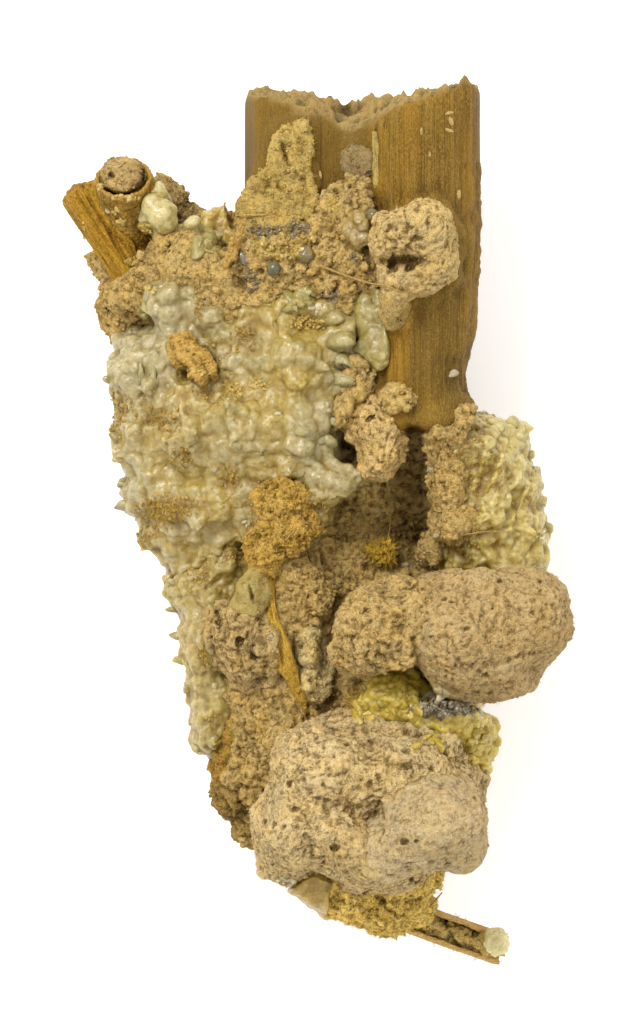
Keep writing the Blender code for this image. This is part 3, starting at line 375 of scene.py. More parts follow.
def pressed(skin, own, reach=CLOSE):
    """Swells the skin towards the neighbours that it sits against, and a little into them."""
    push = np.zeros(len(skin.co))
    tree = solids_around(skin.co.min(axis=0) - reach, skin.co.max(axis=0) + reach, own)
    if tree:
        for index, place in enumerate(skin.co):
            found = tree.find_nearest(place, reach)
            if found[3] is not None:
                push[index] = max(0.0, min(1.0, (reach - found[3]) / FADE)) * (found[3] + PRESS)
        push = averaged(push, skin.edges(), 3)
        skin.co = skin.co + skin.normals() * push[:, None]
    return skin


def worked_skin(node, voxel, rounds, cuts, mounds=(), reach=CLOSE, beside=()):
    """A skin over a solid that meets its neighbours, cut finer in places that can be seen."""
    skin = pressed(fine_skin(node, voxel, rounds, mounds), {node, *beside}, reach)
    skin.values["open"] = in_the_open(skin)
    for level in range(cuts):
        wanted = skin.values["open"] > 0.25
        if level > 0:
            wanted = (skin.values["open"] > 0.6) & (skin.normals()[:, 2] > 0.05)
        skin = cut_finer(skin, wanted)
        skin.co = averaged(skin.co, skin.edges(), 1)
    return skin


def pitted(skin, pits):
    """Sinks pits into the side looked at, or raises it where the depth is below 0. Pits deeper than 0.2 mm
    are also marked to be darkened with painted shade.

    Each pit is a place in the picture, its half width and half height in mm, turn and depth.
    """
    facing = np.clip(skin.normals()[:, 2] * 2.0, 0, 1)
    dark = np.zeros(len(skin.co))
    for px, py, wide, high, turn, depth in pits:
        x, y = place_of(px, py)
        across, along = skin.co[:, 0] - x, skin.co[:, 1] - y
        c, s = math.cos(math.radians(turn)), math.sin(math.radians(turn))
        reach = ((across * c + along * s) / wide) ** 2 + ((along * c - across * s) / high) ** 2
        sink = np.exp(-reach ** 1.5) * facing
        skin.co[:, 2] -= depth * sink
        # Painted shade: pits deeper than 0.2 mm are marked to be darkened in the finish.
        if depth > 0.2:
            dark = np.maximum(dark, sink * min(1.0, depth))
    skin.values["pit"] = np.maximum(skin.values.get("pit", 0), dark)


def crumbled(skin, seed, swell, crumb, pore=None, pore_share=0.3):
    """Works lumps, crumbs and pores into the surface. Each is (height, size) in mm."""
    height = swell[0] * clouds(skin.co, swell[1], seed)
    height += crumb[0] * creases(skin.co, crumb[1], seed + 5)
    if pore:
        sunk = holes(skin.co, pore[1], seed + 9, pore_share)
        height -= pore[0] * sunk
        # Painted shade: the pores are marked to be darkened in the finish.
        skin.values["pit"] = np.maximum(skin.values.get("pit", 0), 0.7 * sunk)
    skin.co = skin.co + skin.normals() * height[:, None]


def hollows(skin, depth):
    """Marks each place from 0, on a crest, to 1, in a hollow of about this depth in mm. The finishes paint
    shade into the hollows by this mark.
    """
    edges = skin.edges()
    normal = skin.normals()
    total = np.full(len(skin.co), 0.4)
    for rounds, gain in ((2, 1.1), (10, 0.6), (40, 0.25)):
        broad = averaged(skin.co, edges, rounds)
        total += gain * ((broad - skin.co) * normal).sum(axis=1) / depth
    skin.values["hollow"] = np.clip(averaged(total, edges, 1), 0, 1)


def merged(skins):
    """Several skins as one, with every value of each."""
    faces = {}
    soft = {}
    shift = 0
    for skin in skins:
        for face, flags in zip(skin.faces, skin.soft):
            faces.setdefault(face.shape[1], []).append(face + shift)
            soft.setdefault(face.shape[1], []).append(flags)
        shift += len(skin.co)
    whole = Skin(np.concatenate([skin.co for skin in skins]),
                 [np.concatenate(found) for found in faces.values()])
    whole.soft = [np.concatenate(flags) for flags in soft.values()]
    for key in sorted({key for skin in skins for key in skin.values}):
        plain = 0.4 if key in ("hollow", "tone") else 0.0
        whole.values[key] = np.concatenate([
            np.broadcast_to(np.asarray(skin.values.get(key, plain)), (len(skin.co),)) for skin in skins
        ])
    return whole


def piece_of(name, skin, material, nodes, slot):
    """Makes the skin an object that stands for its nodes and rides with the specimen."""
    skin.co[:, 2] = np.maximum(skin.co[:, 2], 0.0)
    mesh = bpy.data.meshes.new(name)
    mesh.vertices.add(len(skin.co))
    mesh.vertices.foreach_set("co", (skin.co * MM).ravel())
    index = np.concatenate([face.ravel() for face in skin.faces])
    sizes = np.concatenate([np.full(len(face), face.shape[1]) for face in skin.faces])
    mesh.loops.add(len(index))
    mesh.loops.foreach_set("vertex_index", index)
    mesh.polygons.add(len(sizes))
    mesh.polygons.foreach_set("loop_start", np.concatenate([[0], np.cumsum(sizes)[:-1]]))
    mesh.polygons.foreach_set("use_smooth", np.concatenate(skin.soft))
    mesh.update(calc_edges=True)
    for key, values in skin.values.items():
        if key != "open":
            laid = mesh.attributes.new(key, "FLOAT", "POINT").data
            laid.foreach_set("value", np.asarray(values, dtype=np.float32))
    mesh.materials.append(material)
    piece = bpy.data.objects.new(name, mesh)
    scene.collection.objects.link(piece)
    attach(piece, "root")
    if nodes:
        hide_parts(*nodes)


COLOUR = "NodeSocketColor"
FLOAT = "NodeSocketFloat"


class Wiring:
    """Short ways to place and link shader nodes in one tree."""

    def __init__(self, tree):
        self.tree = tree

    def node(self, kind, **values):
        """A new node with these settings."""
        made = self.tree.nodes.new("ShaderNode" + kind)
        for key, value in values.items():
            setattr(made, key, value)
        return made

    def link(self, source, target):
        """Feeds a socket from another one, or gives it a plain value."""
        if isinstance(source, (int, float, tuple)):
            target.default_value = source
        else:
            self.tree.links.new(source, target)

    def noise(self, scale, place, detail=2.0, rough=0.5, stretch=None, bend=0.0):
        """Soft noise from 0 to 1, stretched along an axis where its scale there is small."""
        made = self.node("TexNoise")
        made.inputs["Detail"].default_value = detail
        made.inputs["Roughness"].default_value = rough
        made.inputs["Distortion"].default_value = bend
        self.link(scale, made.inputs["Scale"])
        if stretch:
            mapping = self.node("Mapping")
            mapping.inputs["Scale"].default_value = stretch
            self.link(place, mapping.inputs["Vector"])
            place = mapping.outputs["Vector"]
        self.link(place, made.inputs["Vector"])
        return made.outputs["Fac"]

    def facets(self, scale, place):
        """Flat tilted facets, one to a cell: how far each place stands out, and the facet's number."""
        made = self.node("TexVoronoi")
        self.link(scale, made.inputs["Scale"])
        self.link(place, made.inputs["Vector"])
        away = self.node("VectorMath", operation="SUBTRACT")
        self.link(place, away.inputs[0])
        self.link(made.outputs["Position"], away.inputs[1])
        lean = self.node("VectorMath", operation="SUBTRACT")
        self.link(made.outputs["Color"], lean.inputs[0])
        lean.inputs[1].default_value = (0.5, 0.5, 0.5)
        tilt = self.node("VectorMath", operation="DOT_PRODUCT")
        self.link(away.outputs["Vector"], tilt.inputs[0])
        self.link(lean.outputs["Vector"], tilt.inputs[1])
        own = self.node("SeparateColor")
        self.link(made.outputs["Color"], own.inputs["Color"])
        return self.math("MULTIPLY", tilt.outputs["Value"], scale), own.outputs["Red"]

    def span(self, value, low, high, to_low=0.0, to_high=1.0):
        """A value between low and high laid out anew between two others."""
        made = self.node("MapRange")
        self.link(value, made.inputs["Value"])
        for label, number in (("From Min", low), ("From Max", high), ("To Min", to_low), ("To Max", to_high)):
            self.link(number, made.inputs[label])
        return made.outputs["Result"]

    def mix(self, share, first, second, blend="MIX"):
        """The first colour, with this share of the second."""
        made = self.node("Mix", data_type="RGBA", blend_type=blend)
        self.link(share, made.inputs[0])
        self.link(first, made.inputs[6])
        self.link(second, made.inputs[7])
        return made.outputs[2]

    def tinted(self, first, second):
        """One colour darkened or lightened by another."""
        return self.mix(1.0, first, second, "MULTIPLY")

    def math(self, kind, first, second=0.0):
        """One step of arithmetic on two values."""
        made = self.node("Math", operation=kind)
        self.link(first, made.inputs[0])
        self.link(second, made.inputs[1])
        return made.outputs[0]

    def sum(self, *pairs):
        """The sum of value times share over the pairs."""
        total = 0.0
        for value, share in pairs:
            total = self.math("ADD", total, self.math("MULTIPLY", value, share))
        return total

    def lines(self, noise, width):
        """Thin lines where a noise passes its middle: 1 on a line, 0 beyond this width."""
        return self.span(self.math("ABSOLUTE", self.sum((noise, 1.0), (1.0, -0.5))), 0.0, width, 1.0, 0.0)

    def value(self, name):
        """A value that the surface carries."""
        return self.node("Attribute", attribute_name=name).outputs["Fac"]

    def placed(self, group, **values):
        """A node group with its own values, named as its sockets are with _ for a space."""
        made = self.node("Group", node_tree=group)
        for key, value in values.items():
            made.inputs[key.replace("_", " ")].default_value = value
        return made.outputs

    def raised(self, height, strength, depth):
        """The normal of a surface raised by the height, with its depth in mm."""
        made = self.node("Bump")
        made.inputs["Strength"].default_value = strength
        made.inputs["Distance"].default_value = depth * MM
        self.link(height, made.inputs["Height"])
        return made.outputs["Normal"]


def finish_of(name):
    """A new material: itself, the wiring of its nodes, and its shader's sockets."""
    material = bpy.data.materials.new(name)
    material.use_nodes = True
    return material, Wiring(material.node_tree), material.node_tree.nodes["Principled BSDF"].inputs


def group_of(name, inputs, outputs):
    """An empty shader node group with named sockets: its wiring and its two ends."""
    tree = bpy.data.node_groups.new(name, "ShaderNodeTree")
    for label, kind, value in inputs:
        tree.interface.new_socket(label, in_out="INPUT", socket_type=kind).default_value = value
    for label, kind in outputs:
        tree.interface.new_socket(label, in_out="OUTPUT", socket_type=kind)
    return Wiring(tree), tree.nodes.new("NodeGroupInput").outputs, tree.nodes.new("NodeGroupOutput").inputs


def earth_tones():
    """Colour, roughness and fine height of dry earth: crumbs, short rods, gaps and stains, with painted light
    on the crests and painted shade in hollows, gaps, pores and pits.
    """
    w, given, out = group_of("earth_tones", (
        ("Light", COLOUR, (1, 1, 1, 1)), ("Mid", COLOUR, (1, 1, 1, 1)), ("Dark", COLOUR, (0, 0, 0, 1)),
        ("Stain", COLOUR, (1, 1, 1, 1)), ("Stain Share", FLOAT, 0.3), ("Grain", FLOAT, 1.0),
        ("Pinholes", FLOAT, 0.5),
    ), (("Colour", COLOUR), ("Roughness", FLOAT), ("Height", FLOAT)))
    place = w.node("TexCoord").outputs["Object"]
    hollow = w.value("hollow")

    def crumbly(scale, detail, rough, bend=0.0):
        return w.noise(w.math("MULTIPLY", given["Grain"], scale), place, detail, rough, bend=bend)

    broad = w.noise(170.0, place, 3.0, 0.6)
    patch = w.noise(430.0, place, 3.0, 0.65)
    hue = w.noise(620.0, place, 2.0, 0.6)
    crumbs = crumbly(1500.0, 4.0, 0.7, 0.25)
    rods = w.lines(crumbly(2900.0, 1.0, 0.6, 0.6), 0.07)
    gaps = w.lines(crumbly(2300.0, 1.0, 0.6, 0.7), 0.045)
    grain = crumbly(5200.0, 2.0, 0.65, 0.6)
    fine = crumbly(9500.0, 2.0, 0.6)
    loose = w.span(w.sum((crumbs, 1.0), (patch, 0.5), (given["Pinholes"], -0.12)), 0.68, 0.56)
    gaps = w.math("MULTIPLY", w.math("MULTIPLY", gaps, loose), w.sum((given["Pinholes"], 0.85)))
    hole = w.math("MULTIPLY", w.span(crumbly(2700.0, 2.0, 0.6, 0.8), 0.39, 0.33), w.span(patch, 0.62, 0.42))
    void = w.math("MAXIMUM", w.math("MULTIPLY", hole, given["Pinholes"]), gaps)
    share = w.math("MULTIPLY", w.span(broad, 0.42, 0.6), given["Stain Share"])
    stained = w.mix(share, given["Mid"], given["Stain"])
    # Painted light: the crests of the crumbs, rods and grains are lit, hollows less so.
    rise = w.sum((rods, 0.3), (crumbs, 0.9), (grain, 0.5), (patch, 0.3), (hollow, -0.5))
    lit = w.mix(w.span(rise, 0.6, 1.05), stained, given["Light"])
    # Painted shade: hollows and the low parts of the crumbs and grains are darkened.
    sink = w.sum((hollow, 0.8), (crumbs, -1.1), (grain, -0.4), (rods, -0.12))
    shaded = w.mix(w.span(sink, -0.48, 0.1), lit, given["Dark"])
    # Painted shade in the gaps and pinholes.
    pores_shaded = w.mix(void, shaded, w.tinted(given["Dark"], (0.8, 0.75, 0.62, 1)))
    dust = w.mix(w.span(fine, 0.34, 0.66), (0.78, 0.76, 0.72, 1), (1.24, 1.24, 1.24, 1))
    hues = w.mix(w.span(hue, 0.4, 0.6), (1.03, 1.0, 0.93, 1), (0.98, 1.0, 1.06, 1))
    # Fine random tone and random hue, laid over the painted light and shade.
    dusted_and_shaded = w.tinted(w.tinted(pores_shaded, dust), hues)
    # Painted shade in the pits.
    w.link(w.mix(w.value("pit"), dusted_and_shaded, w.tinted(given["Dark"], (0.65, 0.6, 0.5, 1))), out["Colour"])
    w.link(w.span(grain, 0.3, 0.7, 0.82, 0.98), out["Roughness"])
    rough = w.sum((w.span(crumbs, 0.3, 0.7), 1.2), (rods, 0.3), (w.span(grain, 0.3, 0.7), 0.45))
    w.link(w.sum((rough, 1.0), (void, -0.6), (fine, 0.2)), out["Height"])
    return w.tree


EARTH_TONES = earth_tones()
EARTH_SHINE = 0.08


def earth_finish(name, mid, stain, light=1.35, dark=0.34, pinholes=0.8):
    """A dry earth finish. The colours are 8-bit; light and dark are shares of their brightness, for the
    painted light on crests and the painted shade in hollows, pores and pits.
    """
    material, w, shader = finish_of(name)
    # The colour of the painted shade.
    deep = colour(mid[0] * 0.94, mid[1] * 0.86, mid[2] * 0.68, dark)
    tones = w.placed(EARTH_TONES, Light=colour(*mid, light), Mid=colour(*mid), Dark=deep,
                     Stain=colour(*stain), Stain_Share=0.45, Grain=1.5, Pinholes=pinholes)
    w.link(tones["Colour"], shader["Base Color"])
    w.link(tones["Roughness"], shader["Roughness"])
    w.link(w.raised(tones["Height"], 1.0, 0.14), shader["Normal"])
    shader["Specular IOR Level"].default_value = EARTH_SHINE
    return material


EARTH_VOXEL = 0.78
EARTH_MID = (194, 164, 101)
EARTH_STAIN = (183, 148, 78)
# The deep places between the lumps: each is sunk, and darkened with painted shade through its pit mark.
DEEP_PLACES = (
    (400, 500, 3.0, 5.0, 0, 0.35), (330, 698, 1.0, 2.4, -15, 0.9), (372, 875, 0.8, 0.8, 0, 0.6),
    (390, 560, 2.4, 1.6, 0, 0.5), (240, 280, 0.8, 1.2, 0, 0.5), (212, 618, 0.6, 0.8, 0, 0.5),
)
EARTH_MOUNDS = (
    (262, 298, 20.4, 2.6, 1.7, 3.0), (238, 302, 19.8, 1.9, 1.9, 3.0), (345, 212, 21.8, 2.5, 2.6, 2.0),
    (334, 245, 22.3, 2.8, 3.0, 2.0), (352, 275, 22.0, 2.6, 2.4, 2.0), (328, 288, 21.8, 2.4, 2.0, 2.2),
    (361, 188, 21.0, 1.3, 2.2, 1.2), (352, 305, 21.2, 2.0, 2.2, 1.5), (357, 386, 21.4, 1.7, 3.4, 1.7),
    (190, 258, 19.2, 3.4, 2.4, 3.0), (215, 276, 20.2, 2.2, 2.0, 2.4), (116, 302, 13.6, 2.2, 2.2, 2.4),
    (285, 735, 17.0, 2.4, 3.0, 3.0), (430, 548, 16.6, 1.5, 1.4, 1.8), (446, 442, 21.4, 2.0, 2.6, 1.7),
    (443, 480, 21.2, 2.2, 3.0, 1.7), (450, 520, 20.8, 2.6, 2.4, 1.6), (300, 575, 19.6, 2.2, 2.0, 1.6),
    (396, 400, 24.0, 1.6, 1.4, 1.4), (320, 600, 19.6, 1.6, 2.0, 1.6),
    (253, 251, 21.6, 2.0, 1.6, 1.8), (272, 246, 22.0, 1.8, 1.4, 1.6), (218, 330, 18.6, 1.6, 1.8, 2.0),
    (343, 415, 22.0, 1.6, 1.8, 1.6), (140, 290, 16.6, 2.2, 1.9, 2.1), (122, 296, 15.4, 1.8, 1.6, 2.0),
    (152, 270, 18.0, 1.6, 1.4, 1.6),
)
earth = worked_skin("matrix", EARTH_VOXEL, 2, 2, EARTH_MOUNDS)
pitted(earth, DEEP_PLACES)
crumbled(earth, 3, (0.35, 2.6), (0.24, 1.5), (0.3, 0.9), 0.14)
crumbled(earth, 4, (0.0, 1.0), (0.15, 0.6))
hollows(earth, EARTH_VOXEL / 3)
earth_dust = earth_finish("crumbly_earth", EARTH_MID, EARTH_STAIN)
piece_of("crumbly_earth", earth, earth_dust, ["matrix"], "matrix")


# The loose grains and fine needles that lie all over the earth: the same dry soil, fallen
# apart. Each sits a little way into the surface that carries it.


def lump_shape(rng, rings):
    """An irregular rounded grain, about 1 across."""
    shape = bmesh.new()
    if rings:
        bmesh.ops.create_icosphere(shape, subdivisions=rings, radius=0.5)
    else:
        bmesh.ops.create_uvsphere(shape, u_segments=5, v_segments=2, radius=0.5)
    for vert in shape.verts:
        vert.co *= rng.uniform(0.72, 1.22)
        vert.co.x *= 1.15
        vert.co.z *= 0.85
    return shape_arrays(shape)


def shape_arrays(shape):
    """The corners and triangles of a small shape, which is then let go."""
    bmesh.ops.triangulate(shape, faces=shape.faces)
    shape.verts.index_update()
    corners = np.array([tuple(vert.co) for vert in shape.verts])
    faces = np.array([[vert.index for vert in face.verts] for face in shape.faces])
    shape.free()
    return corners, faces


def needle_shape():
    """A short pointed needle, 1 long, from a little below its foot."""
    shape = bmesh.new()
    bmesh.ops.create_cone(shape, cap_ends=False, segments=3, radius1=0.5, radius2=0.12, depth=1.1)
    for vert in shape.verts:
        vert.co.z += 0.45
        vert.co.x += vert.co.z ** 2 * 0.4
    return shape_arrays(shape)


def planted(shapes, feet, axes, lengths, widths, rng, soft=False):
    """Copies of the shapes as one Skin, one for each foot, standing along its axis."""
    count = len(feet)
    pick = rng.integers(0, len(shapes), count)
    spin = rng.uniform(0, math.tau, count)[:, None]
    up = axes / np.linalg.norm(axes, axis=1, keepdims=True)
    side = np.cross(up, np.where(np.abs(up[:, 2:]) < 0.9, [[0, 0, 1.0]], [[1.0, 0, 0]]))
    side /= np.linalg.norm(side, axis=1, keepdims=True)
    other = np.cross(up, side)
    right = side * np.cos(spin) + other * np.sin(spin)
    ahead = other * np.cos(spin) - side * np.sin(spin)
    co, faces, owner, shift = [], [], [], 0
    for number, (corners, triangles) in enumerate(shapes):
        mine = np.flatnonzero(pick == number)
        placed = (feet[mine][:, None]
                  + (corners[:, 0] * widths[mine][:, None])[..., None] * right[mine][:, None]
                  + (corners[:, 1] * widths[mine][:, None])[..., None] * ahead[mine][:, None]
                  + (corners[:, 2] * lengths[mine][:, None])[..., None] * up[mine][:, None])
        co.append(placed.reshape(-1, 3))
        each = shift + np.arange(len(mine))[:, None, None] * len(corners)
        faces.append((each + triangles).reshape(-1, 3))
        owner.append(np.repeat(mine, len(corners)))
        shift += len(mine) * len(corners)
    skin = Skin(np.concatenate(co), [np.concatenate(faces)], soft)
    skin.owner = np.concatenate(owner)
    return skin


def spread(skin, count, rng, lowest=-0.4, keep=None):
    """Random places on the skin: where, which way it faces, and a corner of the face.

    keep gives each face, by its first corner, its share of them.
    """
    quads = max(skin.faces, key=len)
    corners = skin.co[quads]
    across = np.cross(corners[:, 2] - corners[:, 0], corners[:, -1] - corners[:, 1])
    area = np.linalg.norm(across, axis=1)
    facing = across / np.maximum(area[:, None], 1e-12)
    weight = area * np.clip((facing[:, 2] - lowest) * 2, 0.12, 1)
    if "open" in skin.values:
        weight = weight * (0.04 + skin.values["open"][quads[:, 0]])
    if keep is not None:
        weight = weight * keep(quads[:, 0])
    picks = rng.choice(len(quads), count, p=weight / weight.sum())
    share = rng.dirichlet((1, 1, 1, 1), count)[:, :quads.shape[1]]
    share /= share.sum(axis=1, keepdims=True)
    return (corners[picks] * share[..., None]).sum(axis=1), facing[picks], quads[picks, 0]


def grains(skin, count, least, most, rng, keep=None, fine=True):
    """Loose grains on the skin, from least to most mm wide, most of them small."""
    shapes = [lump_shape(rng, 0 if fine else 2) for _ in range(6)]
    feet, facing, corner = spread(skin, count, rng, keep=keep)
    sizes = least + (most - least) * rng.random(count) ** 2.5
    feet = feet + facing * sizes[:, None] * 0.12
    made = planted(shapes, feet, facing + rng.normal(0, 0.5, (count, 3)), sizes, sizes, rng, soft=True)
    # Grains in hollows and pits take painted shade from the surface under them, with a random share.
    shade = skin.values["hollow"][corner] * 0.6 + rng.uniform(-0.1, 0.15, count)
    made.values["hollow"] = np.clip(shade, 0, 1)[made.owner]
    made.values["pit"] = (skin.values["pit"][corner] * 0.5)[made.owner]
    return made


def needles(skin, count, least, most, rng, keep=None, thin=0.09):
    """Fine needles that stand and lie on the skin, from least to most mm long."""
    feet, facing, _ = spread(skin, count, rng, keep=keep)
    lengths = rng.uniform(least, most, count)
    lean = rng.normal(0, 0.9, (count, 3))
    widths = np.full(count, thin)
    made = planted([needle_shape()], feet, facing * 0.8 + lean, lengths, widths, rng, soft=True)
    made.values["hollow"] = rng.uniform(0.0, 0.35, count)[made.owner]
    return made


rng = np.random.default_rng(41)
loose = merged([
    grains(earth, 2300, 0.16, 0.6, rng),
    grains(earth, 120, 0.6, 1.3, rng, fine=False),
    needles(earth, 3400, 0.25, 0.7, rng),
])
piece_of("loose_grains", loose, earth_dust, [], "matrix")


# The rounded clods: balls of hard dry earth that rolled together, some rough and full of
# holes, some smooth. Each has grown fast to what it sits on.


def dusty(skin, grain_count, needle_count, rng, widths=(0.12, 0.4), lengths=(0.2, 0.45)):
    """The skin with its own loose grains and needles on it, of these widths and lengths in mm."""
    return merged([skin, grains(skin, grain_count, *widths, rng),
                   needles(skin, needle_count, *lengths, rng, thin=HAIR_THIN)])


HAIR_THIN = 0.07
CLOD_VOXEL = 0.7
CLODS = (
    # node, colour, stain, swell, crumb, pinholes, mounds as in fine_skin(), pits as in pitted()
    ("clod_bottom", (211, 185, 132), (200, 166, 97), (0.5, 3.2), (0.24, 1.5), 1.0,
     ((330, 815, 24.6, 3.0, 2.4, 2.0), (372, 775, 24.8, 3.4, 2.4, 2.2), (300, 790, 23.6, 3.0, 3.4, 2.6)), (
        (271, 786, 0.3, 0.9, -25, 0.4), (372, 738, 1.0, 0.3, 15, 0.4), (372, 872, 0.7, 0.7, 0, 1.2),
        (364, 891, 0.3, 0.35, 0, 0.8), (402, 760, 0.7, 0.25, -20, 0.4),
    )),
    ("clod_right", (187, 160, 110), (185, 149, 86), (0.45, 3.4), (0.16, 1.5), 0.7,
     ((490, 632, 28.0, 4.2, 5.0, 2.2), (478, 595, 27.2, 4.0, 3.0, 2.0), (505, 675, 24.6, 3.4, 2.4, 2.4)), (
        (489, 606, 0.2, 0.22, 0, 0.6), (470, 586, 1.6, 1.5, 10, -0.25), (473, 689, 0.45, 0.16, 10, 0.4),
        (512, 655, 2.4, 0.3, 15, 0.2),
    )),
    ("clod_right_small", (195, 166, 107), (193, 156, 87), (0.5, 2.4), (0.24, 1.3), 1.0,
     ((395, 640, 27.0, 2.0, 3.0, 1.8), (416, 620, 27.6, 1.8, 2.6, 1.8)), (
        (412, 640, 0.4, 2.0, 5, 0.3),
    )),
    ("clod_upper", (201, 173, 115), (197, 165, 96), (0.3, 2.0), (0.2, 1.2), 0.8,
     ((388, 250, 26.6, 2.2, 2.0, 2.2),), (
        (400, 266, 2.0, 0.45, 3, 1.0), (391, 271, 0.34, 0.34, 0, 0.9), (408, 272, 0.34, 0.32, 0, 0.9),
        (404, 225, 0.14, 0.8, 10, 0.4), (425, 232, 0.14, 0.7, -8, 0.4), (414, 245, 0.7, 0.15, 10, 0.4),
    )),
    ("pale_lobe", (195, 172, 127), (188, 161, 107), (0.4, 3.0), (0.14, 1.4), 0.55, (), (
        (402, 834, 0.3, 0.25, 0, 0.4), (428, 858, 0.4, 0.3, 10, 0.3),
    )),
    ("small_lobe", (200, 173, 119), (192, 155, 90), (0.25, 1.6), (0.16, 1.0), 0.9, (), (
        (333, 842, 0.36, 0.34, 0, 0.8),
    )),
    ("clod_middle", (210, 178, 116), (203, 166, 96), (0.3, 1.8), (0.18, 1.1), 0.8, (), (
        (370, 420, 0.5, 0.16, 20, 0.4),
    )),
)
for number, (node, tint, stain, swell, crumb, pinholes, mounds, pits) in enumerate(CLODS):
    clod = worked_skin(node, CLOD_VOXEL, 3, 2, mounds)
    wide = clod.values["open"].sum()
    pitted(clod, pits)
    crumbled(clod, 20 + 7 * number, swell, crumb, (0.2, 0.8), 0.03 + 0.1 * pinholes)
    crumbled(clod, 21 + 7 * number, (0.1 * pinholes, 1.1), (0.1 * pinholes, 0.5))
    hollows(clod, CLOD_VOXEL / 3)
    rng = np.random.default_rng(60 + number)
    ball = dusty(clod, int(wide * 0.03 * pinholes), int(wide * 0.04 * pinholes), rng)
    finish = earth_finish(node + "_earth", tint, stain, pinholes=pinholes)
    piece_of(node + "_ball", ball, finish, [node], node)


# The small lumps of earth: ridges, nodules, pebbles and crumbs that stick to the crusts.
# Most are the same soil, stained from grey to orange, and a few are smooth.

SMALL_VOXEL = 0.34
SMALL_GRAINS = (0.15, 0.5)
SMALL_NEEDLES = (0.25, 0.6)
SMALL_LUMPS = (
    # node, colour, stain, swell, crumb, pore, pinholes, pits
    ("rough_nodule", (190, 162, 106), (158, 130, 80), (0.35, 1.8), (0.24, 1.2), (0.45, 1.0), 1.0,
     ((219, 618, 0.3, 1.0, 10, 1.0), (240, 640, 0.3, 0.4, 0, 0.6), (255, 655, 0.4, 0.3, 0, 0.6))),
    ("tan_pebble", (168, 148, 89), (158, 132, 63), (0.1, 1.2), (0.04, 0.8), (0.1, 0.6), 0.2,
     ((252, 592, 0.14, 1.0, 15, 0.35),)),
    ("grey_ridge", (208, 184, 124), (184, 157, 103), (0.25, 1.4), (0.2, 0.9), (0.3, 0.8), 1.0, ()),
    ("orange_ridge", (173, 136, 61), (163, 119, 43), (0.3, 1.6), (0.2, 0.9), (0.3, 0.8), 1.0, ()),
    ("foot_lump", (163, 134, 75), (142, 115, 59), (0.35, 1.6), (0.24, 1.0), (0.35, 0.9), 1.0,
     ((243, 800, 0.5, 0.5, 0, 1.0),)),
    ("earth_ridge", (176, 149, 96), (140, 116, 70), (0.35, 1.4), (0.24, 1.0), (0.35, 0.9), 1.0, ()),
    ("crumb_below_clod", (181, 154, 95), (169, 138, 73), (0.12, 1.0), (0.1, 0.8), (0.2, 0.6), 0.9, ()),
    ("wood_pebble", (146, 125, 84), (129, 104, 57), (0.05, 0.8), (0.16, 0.7), (0.16, 0.5), 0.6, ()),
    ("orange_crumb", (195, 158, 78), (184, 138, 48), (0.5, 1.6), (0.2, 0.7), (0.25, 0.6), 1.0, ()),
    ("crumb_bottom", (236, 202, 110), (222, 184, 84), (0.4, 1.8), (0.34, 0.9), (0.42, 0.7), 1.0, ()),
    ("earth_plug", (182, 153, 98), (160, 132, 82), (0.06, 1.0), (0.05, 0.8), (0.1, 0.6), 0.8,
     ((113, 178, 0.3, 0.3, 0, 0.7), (147, 184, 0.35, 1.5, 12, 1.6))),
    ("reed_fill", (205, 175, 100), (222, 198, 130), (0.2, 1.2), (0.3, 0.9), (0.25, 0.6), 0.8, ()),
)
FILLED = {"earth_plug": {"hollow_stem"}, "reed_fill": {"reed"}}
FILLING = {
    "earth_plug": ((124, 177, 18.9, 2.4, 1.9, 1.6),),
    "reed_fill": ((428, 929, 8.5, 1.7, 1.25, 1.3), (452, 938, 8.3, 2.0, 1.25, 1.3),
                  (478, 947, 8.1, 1.9, 1.25, 1.3)),
}
MOSSY = {"orange_crumb", "crumb_bottom", "orange_ridge"}
for number, (node, tint, stain, swell, crumb, pore, pinholes, pits) in enumerate(SMALL_LUMPS):
    lump = worked_skin(node, SMALL_VOXEL, 2, 1, FILLING.get(node, ()), beside=FILLED.get(node, ()))
    pitted(lump, pits)
    crumbled(lump, 90 + 7 * number, swell, crumb, pore, 0.12)
    hollows(lump, SMALL_VOXEL / 1.6)
    rng = np.random.default_rng(90 + number)
    wide = lump.values["open"].sum()
    mossy = 2.2 if node in MOSSY else 1.0
    whole = dusty(lump, int(wide * 0.05 * pinholes * mossy) + 1, int(wide * 0.07 * pinholes * mossy) + 1, rng,
                  SMALL_GRAINS, SMALL_NEEDLES)
    finish = earth_finish(node + "_earth", tint, stain, pinholes=pinholes)
    piece_of(node + "_lump", whole, finish, [node], node)


# The slab of old wood: split along the grain, with fine raised fibres, grooves darkened with
# painted shade, and a torn end where the fibres have parted. Its left half is worn dull and brown.

WOOD_VOXEL = 0.6
TORN_FROM = 37.5
SIDE_TO = 36.0
RIBS_FROM = 4.6


def spotted(co, spots):
    """How much each place belongs to the spots.

    Each spot is its place in the picture, half width and half height in mm, and strength.
    """
    total = np.zeros(len(co))
    for px, py, wide, high, strength in spots:
        x, y = place_of(px, py)
        total += strength * np.exp(-((co[:, 0] - x) / wide) ** 2 - ((co[:, 1] - y) / high) ** 2)
    return total


def fibrous(skin, seed, heading, depth, size, share=1.0):
    """Raises fibres that run along the heading, in degrees from +X across the specimen."""
    turn = math.radians(heading)
    along = skin.co[:, 0] * math.cos(turn) + skin.co[:, 1] * math.sin(turn)
    across = skin.co[:, 1] * math.cos(turn) - skin.co[:, 0] * math.sin(turn)
    laid = np.stack([across, along, skin.co[:, 2]], axis=1)
    height = depth * clouds(laid, (size, size * 26, size), seed, 2)
    skin.co = skin.co + skin.normals() * (height * share)[:, None]


